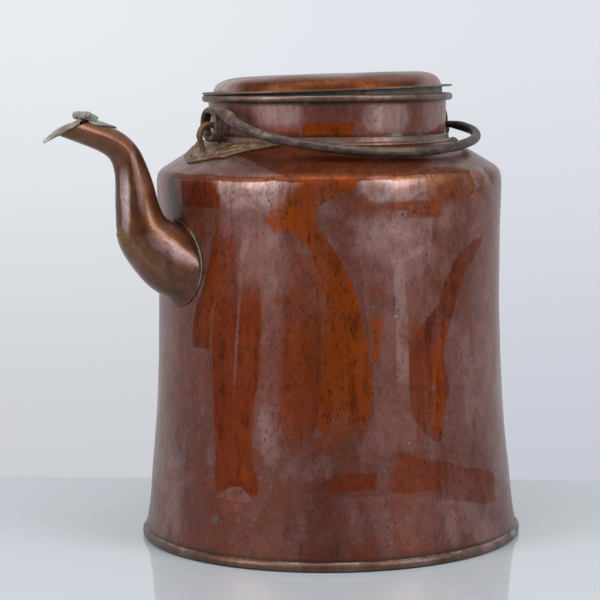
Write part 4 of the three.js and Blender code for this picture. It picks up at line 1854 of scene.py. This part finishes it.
SPOUT_STATIONS = (
    (-106, 192, 25.5, 30), (-118, 201.4, 24.4, 31), (-128, 206.8, 23.2, 30),
    (-136, 213.8, 22.6, 26.4), (-143, 220.2, 21.3, 23.4), (-148.6, 226.9, 19.8, 20.8),
    (-152, 234, 18, 18.4), (-154.1, 242.5, 16.2, 16.2), (-155.4, 250, 15, 15),
    (-156.4, 258, 14, 14), (-157.8, 266.5, 12.7, 12.7), (-160.2, 275.5, 11.5, 11.5),
    (-163.6, 283, 10.8, 10.8), (-169, 289.2, 10.2, 10.4), (-176.8, 294, 9.8, 10.2),
    (-186, 297.6, 9.3, 10), (-197, 301.3, 8.9, 9.6), (-209, 305.2, 8.4, 9), (-219, 308.2, 7.9, 8.4),
)


@dataclass
class Spout:
    """The swan-neck spout: bulb, tapering tube and the flange that laps on the wall."""

    stations: tuple[Point, ...] = SPOUT_STATIONS
    sheet: float = 1.4
    sides: int = 64
    seam: Point = (-150, 0, 232.2)
    seam_tilt: float = -13.0
    heel: Point = (-195.2, 0, 307.2)
    lip: Point = (-214.8, 0, 298.4)
    foot_gap: float = 0.9
    flange: tuple[float, float] = (33, 31.5)

    def build(self, vessel: Vessel, finishes: Finishes) -> None:
        """Build and dress the spout.

        Args:
            vessel: The vessel that it is soldered to.
            finishes: The kettle's finishes.
        """
        Bench.deliver(self.make_bulb(), finishes.spout, Body.KETTLE, Slot.COPPER, ["spout_bulb"])
        Bench.deliver(self.make_neck(), finishes.spout, Body.KETTLE, Slot.COPPER, ["spout_neck"])
        flange = self.make_flange(vessel.shell)
        Bench.deliver(flange, finishes.flange, Body.KETTLE, Slot.COPPER, ["spout_flange"])

    def skin(self, name: str, extra: float) -> bpy.types.Object:
        """Draw the spout's whole skin.

        Args:
            name: The piece's name.
            extra: How much fatter than the tube it is, in millimetres.

        Returns:
            The open skin.
        """
        row = [
            (x, z, deep + extra, wide + extra) for x, z, deep, wide in through(self.stations, 2.4)
        ]
        return Bench.tube(name, row, self.sides)

    def trim(self, piece: bpy.types.Object, at: Point, up: Vector, keep_low: bool) -> None:
        """Cut a skin along a plane.

        Args:
            piece: The skin.
            at: A point of the plane in millimetres.
            up: The plane's upward normal.
            keep_low: Whether what lies under the plane stays.
        """
        Bench.edit(piece)
        bpy.ops.mesh.bisect(
            plane_co=mm(*at), plane_no=up, clear_outer=keep_low, clear_inner=not keep_low
        )
        Bench.close()

    def foot_tool(self) -> bpy.types.Object:
        """Turn the solid that cuts the spout's foot to the wall."""
        row = [(r + self.foot_gap, z) for r, z in through(WALL_ROW[2:10], 12)]
        return Bench.spun("foot_tool", [(0, row[0][1]), *row, (0, row[-1][1])], 128)

    @property
    def seam_up(self) -> Vector:
        """The upward normal of the seam between bulb and tube."""
        tilt = math.radians(self.seam_tilt)
        return Vector((math.sin(tilt), 0, math.cos(tilt)))

    def make_bulb(self) -> bpy.types.Object:
        """Draw the bulb with a low lip where the tube enters it.

        Returns:
            The bulb.
        """
        bulb = self.skin("spout_bulb_shell", 0.3)
        self.trim(bulb, self.seam, self.seam_up, keep_low=True)
        Bench.ripple(bulb, 30, 0.7)
        Bench.thicken(bulb, self.sheet)
        Bench.cut(bulb, self.foot_tool())
        return bulb

    def make_neck(self) -> bpy.types.Object:
        """Draw the tube from inside the bulb's lip to the slanting mouth.

        Returns:
            The tube.
        """
        neck = self.skin("spout_tube_shell", -0.25)
        low = Vector(self.seam) - self.seam_up * 4
        self.trim(neck, low, self.seam_up, keep_low=False)
        slope = Vector(self.heel) - Vector(self.lip)
        self.trim(neck, self.heel, Vector((-slope.z, 0, slope.x)).normalized(), keep_low=True)
        Bench.ripple(neck, 24, 0.35)
        Bench.thicken(neck, self.sheet)
        Bench.cut(neck, self.foot_tool())
        return neck

    def make_flange(self, shell: bpy.types.Object) -> bpy.types.Object:
        """Draw an oval ring and press it on to the wall.

        Args:
            shell: The vessel's wall.

        Returns:
            The flange.
        """
        Bench.clear()
        wide, tall = self.flange
        at = mm(-160, 0, SPOUT_ROOT)
        bpy.ops.mesh.primitive_circle_add(
            vertices=128, radius=wide * MM, location=at, rotation=(0, -math.pi / 2, 0)
        )
        flange = Bench.begin("spout_flange_ring")
        bpy.ops.transform.resize(value=(1, 1, tall / wide), center_override=at)
        for share in (0.985, 0.97, 0.93, 0.88):
            Bench.draw_out((0, 0, 0))
            bpy.ops.transform.resize(value=(1, share, share), center_override=at)
        Bench.close()
        Bench.face(flange, Vector((-1, 0, 0)))
        Bench.modify(
            flange,
            "SHRINKWRAP",
            target=shell,
            wrap_method="PROJECT",
            use_project_x=True,
            use_positive_direction=True,
            use_negative_direction=False,
        )
        Bench.thicken(flange, 1.3, offset=1)
        Bench.ease_edges(flange, 0.35)
        return flange


@dataclass
class SpoutFlap:
    """The leaf over the mouth with its three-knuckle hinge."""

    pin: Point = (-195.2, 0, 311.2)
    knuckle: float = 2.9
    half_knuckle: float = 3.3
    half_width: float = 8.4
    thick: float = 1.1
    droop: float = 1.5
    middle: tuple[Point, ...] = (
        (-196.6, 308.9), (-200, 307.1), (-206, 305), (-212, 302.2), (-217.8, 298.7),
        (-223.7, 294.5),
    )

    def build(self, finishes: Finishes) -> None:
        """Build and dress the flap, its saddle and its pin.

        Args:
            finishes: The kettle's finishes.
        """
        Bench.deliver(self.make_leaf(), finishes.tinned, Body.FLAP, Slot.TINNED, ["spout_flap"])
        for name, node in (("hinge_saddle", "hinge_strap"), ("hinge_pin", "flap_pin")):
            piece = Bench.from_frame(name, node)
            Bench.ease_edges(piece, 0.22)
            Bench.deliver(piece, finishes.tinned, Body.KETTLE, Slot.TINNED, [node])

    def breadth(self, share: float) -> float:
        """Give the leaf's half width at a share of its length.

        Args:
            share: The share, from the hinge.

        Returns:
            Millimetres.
        """
        if share < 0.1:
            return self.half_knuckle - 0.4
        swell = 0.16 + 0.42 * share**0.62 + 0.44 * share**1.7
        return self.half_width * math.sin(math.pi * min(1, swell)) + 0.35

    def make_leaf(self) -> bpy.types.Object:
        """Shape a grid row by row into the leaf, and roll its knuckle.

        Returns:
            The leaf with its knuckle.
        """
        rows, half = 30, 5
        away = 5  # where finished rows wait, so that picking a row by its place misses them
        Bench.clear()
        bpy.ops.mesh.primitive_grid_add(x_subdivisions=rows, y_subdivisions=2 * half, size=1)
        leaf = Bench.begin("flap_leaf")
        for column in range(2 * half + 1):
            aside = column / (2 * half) - 0.5
            Bench.pick(leaf, lambda place, at=aside: abs(place.y - at) < 1e-5)
            bpy.ops.transform.translate(value=mm(0, 0, -self.droop * (2 * aside) ** 2))
        line = through(self.middle, 0.9)
        for row in range(rows + 1):
            share = row / rows
            x, z = line[round((1 - share) * (len(line) - 1))]
            Bench.pick(leaf, lambda place, at=share - 0.5: abs(place.x - at) < 1e-5)
            wide = 2 * self.breadth(1 - share) * MM
            centre = (share - 0.5, 0, 0)
            bpy.ops.transform.resize(value=(1, wide, 1), center_override=centre)
            bpy.ops.transform.translate(value=(x * MM - away - centre[0], 0, z * MM))
        bpy.ops.mesh.select_all(action="SELECT")
        bpy.ops.transform.translate(value=(away, 0, 0))
        Bench.close()
        Bench.face(leaf, Vector((0, 0, 1)))
        Bench.press(leaf, (-212, 0, 302), (0.1, 0, -0.5), 9)
        Bench.thicken(leaf, self.thick, offset=0)
        Bench.ease_edges(leaf, 0.3)
        wide, high, bore = self.half_knuckle, self.knuckle, 1.5
        outer = [(high - 0.3, -wide), (high, 0.3 - wide), (high, wide - 0.3), (high - 0.3, wide)]
        row = [(bore, -wide), *outer, (bore, wide), (bore, -wide)]
        barrel = Bench.spun("flap_knuckle", row, 40)
        turn = Matrix.Rotation(math.pi / 2, 4, "X")
        Bench.place(barrel, Matrix.Translation(mm(*self.pin)) @ turn)
        Bench.cut(leaf, barrel, "UNION")
        return leaf


# Distance from the axis, and angle from the ear's middle.
EAR_EDGE = ((111.6, 5.1), (108.4, 11), (105.9, 17.4), (99, 23.5), (95.4, 30.3), (91.3, 39))


@dataclass
class Ear:
    """One ear: a crescent plate with two scrolls, a wire arch and three rivets."""

    side: Side
    slope: float = 0.5821
    tip: float = 113.6
    inner: float = 90.8
    thick: float = 1.2
    gap: float = 0.35
    wire: float = 2.2
    legs: tuple[float, float] = (89.0, 105.3)
    tail: float = 5.5
    crown: float = EYE_AXIS
    rivets: tuple[Point, ...] = ((109.8, 0), (93.4, 24), (93.4, -24))
    scroll: tuple[Point, ...] = (
        (108.4, 4.4), (105.6, 8.5), (103.2, 13), (99.4, 18), (97.4, 20.5), (95.2, 19), (95.6, 16),
        (98, 14.6), (99.6, 16.2),
    )

    def build(self, vessel: Vessel, finishes: Finishes) -> None:
        """Build and dress the ear.

        Args:
            vessel: The vessel that it is riveted to.
            finishes: The kettle's finishes.
        """
        name = self.side.name.lower()
        plate = self.make_plate(name, vessel.shell)
        Bench.deliver(plate, finishes.plate, Body.KETTLE, Slot.BRASS, [f"ear_plate_{name}"])
        scroll = self.make_scroll(name)
        mirrored = Bench.twin(f"ear_scroll_{name}_back", scroll)
        Bench.place(mirrored, Matrix.Scale(-1, 4, (0, 1, 0)))
        Bench.outward(mirrored)
        for piece in (scroll, mirrored):
            Bench.deliver(piece, finishes.plate, Body.KETTLE, Slot.BRASS)
        arch = self.make_arch(name)
        Bench.deliver(arch, finishes.rusty_iron, Body.KETTLE, Slot.IRON, [f"ear_staple_{name}"])
        first = self.make_rivet(f"rivet_{name}_1")
        copies = [Bench.twin(f"rivet_{name}_{i}", first) for i in (2, 3)]
        for i, (piece, spot) in enumerate(zip([first, *copies], self.rivets), start=1):
            Bench.place(piece, self.on_shoulder(spot))
            node = f"ear_rivet_{name}_{i}"
            Bench.deliver(piece, finishes.rivet, Body.KETTLE, Slot.BRASS, [node])

    def shoulder(self, distance: float) -> float:
        """Give the shoulder's height at a distance from the axis, in millimetres."""
        edge, height = SHOULDER_EDGE
        return height + (edge - distance) * self.slope

    def spot(self, distance: float, degrees: float) -> tuple[float, float]:
        """Give the x and y of a place on the ear, from its distance and angle."""
        sign, turn = self.side.value, math.radians(degrees)
        return sign * distance * math.cos(turn), sign * distance * math.sin(turn)

    def on_shoulder(self, spot: Point) -> Matrix:
        """Give the place and lean of something set square on the shoulder.

        Args:
            spot: Its distance from the axis, and its angle from the ear's middle.

        Returns:
            The place.
        """
        distance, degrees = spot
        turn = math.radians(degrees) + (math.pi if self.side is Side.LEFT else 0)
        sunk = 0.25
        at = mm(
            distance * math.cos(turn), distance * math.sin(turn), self.shoulder(distance) - sunk
        )
        lean = Matrix.Rotation(math.atan(self.slope), 4, "Y")
        return Matrix.Translation(at) @ Matrix.Rotation(turn, 4, "Z") @ lean

    def make_plate(self, name: str, shell: bpy.types.Object) -> bpy.types.Object:
        """Cut the crescent and dress it down on the shoulder.

        Args:
            name: The side's name.
            shell: The vessel's shell.

        Returns:
            The plate.
        """
        polar = [*[(r, -a) for r, a in reversed(EAR_EDGE)], (self.tip, 0), *EAR_EDGE]
        turns = (38.5, 33, 27.5, 22, 16.5, 11, 4.4)
        sign, foot, half = self.side.value, 86.9, 6.8
        outline = [
            *through([self.spot(*place) for place in polar], 2.2),
            *[self.spot(self.inner, a) for a in turns],
            (sign * foot, sign * half),
            (sign * foot, -sign * half),
            *[self.spot(self.inner, -a) for a in reversed(turns)],
        ]
        plate = Bench.plate(f"ear_plate_{name}_leaf", outline, 3.0, shell, self.gap, self.thick)
        Bench.ripple(plate, 10, 0.5)
        Bench.ease_edges(plate, 0.22)
        return plate

    def make_scroll(self, name: str) -> bpy.types.Object:
        """Lay the raised scroll on the plate's front half.

        Args:
            name: The side's name.

        Returns:
            The scroll.
        """
        line = [self.spot(r, -self.side.value * a) for r, a in self.scroll]
        lift = self.gap + self.thick + 0.35
        row = [(x, y, self.shoulder(math.hypot(x, y)) + lift) for x, y in through(line, 1.2)]
        return Bench.rod(
            f"ear_scroll_{name}_front",
            row,
            lambda share: (0.4 + 1.5 * math.sin(math.pi * (0.08 + 0.84 * share)) ** 0.7, 1.05),
            16,
            70,
        )

    def make_arch(self, name: str) -> bpy.types.Object:
        """Draw the wire up, over and down again.

        Args:
            name: The side's name.

        Returns:
            The arch.
        """
        first, last = (self.side.value * leg for leg in self.legs)
        half = abs(last - first) / 2
        spring = self.crown - half
        foot = self.shoulder(abs(first)) - self.tail
        Bench.clear()
        bpy.ops.mesh.primitive_circle_add(
            vertices=24, radius=self.wire * MM, location=mm(first, 0, foot)
        )
        arch = Bench.begin(f"ear_arch_{name}")
        for _ in range(3):
            Bench.draw_out(mm(0, 0, (spring - foot) / 3))
        bpy.ops.mesh.spin(
            steps=20,
            angle=math.pi,
            center=mm((first + last) / 2, 0, spring),
            axis=(0, -self.side.value, 0),
        )
        end = self.shoulder(abs(last)) - self.tail
        for _ in range(3):
            Bench.draw_out(mm(0, 0, (end - spring) / 3))
        Bench.cap()
        Bench.outward(arch)
        Bench.press(arch, (last, 0, 280), (self.side.value * -4.2, 0, 0), 13)
        Bench.ripple(arch, 6, 0.5)
        return arch

    def make_rivet(self, name: str) -> bpy.types.Object:
        """Turn one rivet with a domed head and a spread tail.

        Args:
            name: The rivet's name.

        Returns:
            The rivet, upright on the axis.
        """
        face = self.gap + self.thick
        profile = [
            (0, -2.6), (1.9, -2.5), (2.1, -1.7), (1.6, -1.6), (1.6, face - 0.2), (3.0, face - 0.1),
            (3.1, face + 0.25), (2.75, face + 1.05), (2.1, face + 1.55), (1.1, face + 1.9),
            (0, face + 2.0),
        ]
        return Bench.spun(name, profile, 28)


BAIL_LINE = (
    (-95.2, 1, 313.2), (-95.5, -9, 312.8), (-96, -27, 308.4), (-95.6, -42, 303), (-94, -58, 298.9),
    (-86.5, -73, 294.6), (-65.8, -86.2, 289.8), (-38.4, -101, 285.6), (-11.7, -108.3, 284),
    (13.3, -108.3, 284.1), (42, -100.2, 285.9), (68, -84.6, 288.8), (89.4, -61.4, 292),
    (101.4, -36, 296), (100.8, -20, 298.6), (96.6, -11.6, 299.6), (95.2, -8.8, 299.8),
)


@dataclass
class Bail:
    """The forged rod whose flattened ends are rolled into eyes."""

    line: tuple[Point, ...] = BAIL_LINE
    rod: float = 3.4
    strap: tuple[float, float] = (3.5, 2.1)
    eye: float = 10.3
    eye_x: float = 95.2
    axis: float = EYE_AXIS
    ease: tuple[float, float] = (0.2, 0.05)
    swell: tuple[float, float] = (0.085, 0.042)
    swell_size: tuple[float, float] = (-0.5, 2.3)

    def build(self, finishes: Finishes) -> None:
        """Build and dress the bail.

        Args:
            finishes: The kettle's finishes.
        """
        bail = Bench.rod("bail_rod", through(self.line, 2.0), self.section, 24, 150)
        for side in Side:
            Bench.cut(bail, self.make_eye(side), "UNION")
        Bench.ripple(bail, 11, 0.3)
        Bench.deliver(bail, finishes.iron, Body.BAIL, Slot.IRON, ["bail"])

    def section(self, share: float) -> tuple[float, float]:
        """Give the rod's half width and half height at a share of its length.

        It eases from a flat strap at either end into the round rod, and swells on the left strap.

        Args:
            share: The share of its length, from the left end.

        Returns:
            The half width and half height in millimetres.
        """
        from_end = min(share / self.ease[0], (1 - share) / self.ease[1], 1)
        ease = from_end * from_end * (3 - 2 * from_end)
        at, reach = self.swell
        swell = math.exp(-(((share - at) / reach) ** 2))
        wide, high = (flat + (self.rod - flat) * ease for flat in self.strap)
        return wide + self.swell_size[0] * swell, high + self.swell_size[1] * swell

    def make_eye(self, side: Side) -> bpy.types.Object:
        """Turn one eye and stand it up across the ear's wire.

        Args:
            side: Which eye it is.

        Returns:
            The eye.
        """
        wide, thick = self.strap
        low, high = self.eye - thick, self.eye + thick
        soft, corner = 1.2, 0.35 * 1.2
        rising = [
            (low, soft - wide), (low + corner, corner - wide), (low + soft, -wide),
            (high - soft, -wide), (high - corner, corner - wide), (high, soft - wide),
        ]
        profile = [*rising, *[(r, -z) for r, z in reversed(rising)], rising[0]]
        eye = Bench.spun(f"eye_{side.name.lower()}", profile, 56)
        where = Matrix.Translation(mm(side.value * self.eye_x, 0, self.axis))
        Bench.place(eye, where @ Matrix.Rotation(math.pi / 2, 4, "Y"))
        return eye


@dataclass(frozen=True)
class TableFinish:
    """Pale grey glossy table."""

    colour: Colour = (0.42, 0.46, 0.487)

    def material(self) -> bpy.types.Material:
        """Build the material.

        Returns:
            The material.
        """
        made, net = new_net("pale_table")
        cloud = net.noise(net.place(), 3, 2)
        colour = net.mix(cloud, self.colour, tuple(c * 1.04 for c in self.colour))
        roughness = 0.03 + cloud * 0.05
        net.surface({"Base Color": colour, "Roughness": roughness, "Specular IOR Level": 0.85})
        return made


# Each lamp's name, place in the camera's floor plan and size in metres, and power in watts.
LAMPS = (
    ("left_soft_box", (-1.25, -0.95, 1.05), (0.7, 1.1), 17),
    ("right_soft_box", (1.15, -1.0, 1.05), (0.6, 1.1), 14),
    ("top_soft_box", (0.0, -0.5, 1.6), (1.3, 0.6), 13),
)


@dataclass
class Studio:
    """The camera, the table, the pale background and the soft lamps."""

    facing: float = -30.0
    distance: float = 1491.2
    aside: float = -21.31
    eye_height: float = 339.75
    tilt: float = 0.1122
    roll: float = -0.0103
    focal_pixels: float = 2030.1
    frame_pixels: float = 600.0
    table: Point = (6, 3.2, 0.03)
    table_edge: float = 0.187
    table_yaw: float = -4.6
    aim: Point = (0, 0, 0.2)

    @property
    def turned(self) -> Matrix:
        """The turn from the camera's own floor plan to the kettle's."""
        return Matrix.Rotation(math.radians(self.facing), 4, "Z")

    def build(self) -> None:
        """Set up the camera, table, background and lamps."""
        self.make_camera()
        self.make_table()
        self.make_background()
        for lamp in LAMPS:
            self.make_lamp(*lamp)
        scene = bpy.context.scene
        scene.view_settings.view_transform = "Standard"

    def make_camera(self) -> None:
        """Stand the camera where the photograph was taken from."""
        data = bpy.data.cameras.new("camera")
        data.sensor_width = 36
        data.lens = self.focal_pixels / self.frame_pixels * data.sensor_width
        camera = bpy.data.objects.new("camera", data)
        bpy.context.scene.collection.objects.link(camera)
        at = Matrix.Translation(mm(self.aside, -self.distance, self.eye_height))
        look = Matrix.Rotation(math.pi / 2 - self.tilt, 4, "X")
        camera.matrix_world = self.turned @ at @ look @ Matrix.Rotation(self.roll, 4, "Z")
        bpy.context.scene.camera = camera

    def make_table(self) -> None:
        """Lay the table, whose far edge shows behind the kettle."""
        Bench.clear()
        wide, deep, thick = self.table
        bpy.ops.mesh.primitive_plane_add(size=1)
        table = Bench.begin("table")
        bpy.ops.transform.resize(value=(wide, deep, 1), center_override=(0, 0, 0))
        Bench.draw_out((0, 0, -thick))
        bpy.ops.mesh.select_all(action="SELECT")
        bpy.ops.mesh.normals_make_consistent(inside=False)
        Bench.close()
        yaw = Matrix.Rotation(math.radians(self.table_yaw), 4, "Z")
        back = Matrix.Translation((0, self.table_edge - deep / 2, 0))
        Bench.place(table, self.turned @ yaw @ back)
        Bench.modify(table, "BEVEL", width=4 * MM, segments=3)
        table.data.materials.append(TableFinish().material())

    def make_background(self) -> None:
        """Give the world its pale colour, which the camera and reflections see."""
        world = bpy.data.worlds.new("pale_room")
        bpy.context.scene.world = world
        world.use_nodes = True
        net = Net(world.node_tree)
        rays = net.node("ShaderNodeLightPath").outputs
        way = net.node("ShaderNodeTexCoord").outputs["Generated"]
        turn = (0, 0, math.radians(-self.facing))
        turned = net.node("ShaderNodeMapping", None, {"Vector": way, "Rotation": turn})
        aside, ahead, up = net.split(turned.outputs[0])
        # what the camera sees: a pale wall that darkens downwards, bluer on the right
        left = net.mix(net.rise(up, -0.22, 0.03), (0.595, 0.61, 0.645), (0.81, 0.83, 0.87))
        right = net.mix(net.rise(up, -0.22, 0.03), (0.57, 0.59, 0.665), (0.74, 0.765, 0.82))
        seen = net.mix(net.rise(aside, -0.13, 0.15), left, right)
        # what the metal mirrors: the wall behind it, and two pale panels in a dark room before it
        behind = net.rise(ahead, -0.75, 0.5)
        panels = net.most(
            net.rise(aside, -0.98, -0.86) * net.rise(aside, -0.3, -0.46),
            net.rise(aside, 0.3, 0.4) * net.rise(aside, 0.96, 0.84),
        ) * net.rise(up, -0.35, 0.05)
        front = net.mix(panels, (0.15, 0.15, 0.155), (0.62, 0.63, 0.65))
        mirrored = net.mix(behind, front, (0.72, 0.73, 0.77))
        lit = net.mix(behind, (0.42, 0.42, 0.43), (0.5, 0.51, 0.54))
        glossy, through_glass, camera = (
            Value(net, rays[f"Is {kind} Ray"]) for kind in ("Glossy", "Transmission", "Camera")
        )
        colour = net.mix(net.most(glossy, through_glass), lit, mirrored)
        colour = net.mix(camera, colour, seen)
        shade = net.node("ShaderNodeBackground", None, {"Color": colour, "Strength": 1.0})
        net.node("ShaderNodeOutputWorld", None, {"Surface": shade.outputs[0]})

    def make_lamp(
        self, name: str, at: Point, size: tuple[float, float], power: float
    ) -> None:
        """Hang one soft box.

        Args:
            name: The lamp's name.
            at: Its place in the camera's floor plan, in metres.
            size: Its width and height in metres.
            power: Its power in watts.
        """
        data = bpy.data.lights.new(name, "AREA")
        data.shape = "RECTANGLE"
        data.size, data.size_y = size
        data.energy = power
        lamp = bpy.data.objects.new(name, data)
        bpy.context.scene.collection.objects.link(lamp)
        way = (Vector(self.aim) - Vector(at)).to_track_quat("-Z", "Y").to_matrix().to_4x4()
        lamp.matrix_world = self.turned @ Matrix.Translation(at) @ way


def main() -> None:
    """Build the whole kettle and its studio."""
    finishes = Finishes.mixed()
    vessel = Vessel()
    vessel.build(finishes)
    Lid().build(finishes)
    Spout().build(vessel, finishes)
    SpoutFlap().build(finishes)
    for side in Side:
        Ear(side).build(vessel, finishes)
    Bail().build(finishes)
    Studio().build()


if __name__ == "__main__":
    main()
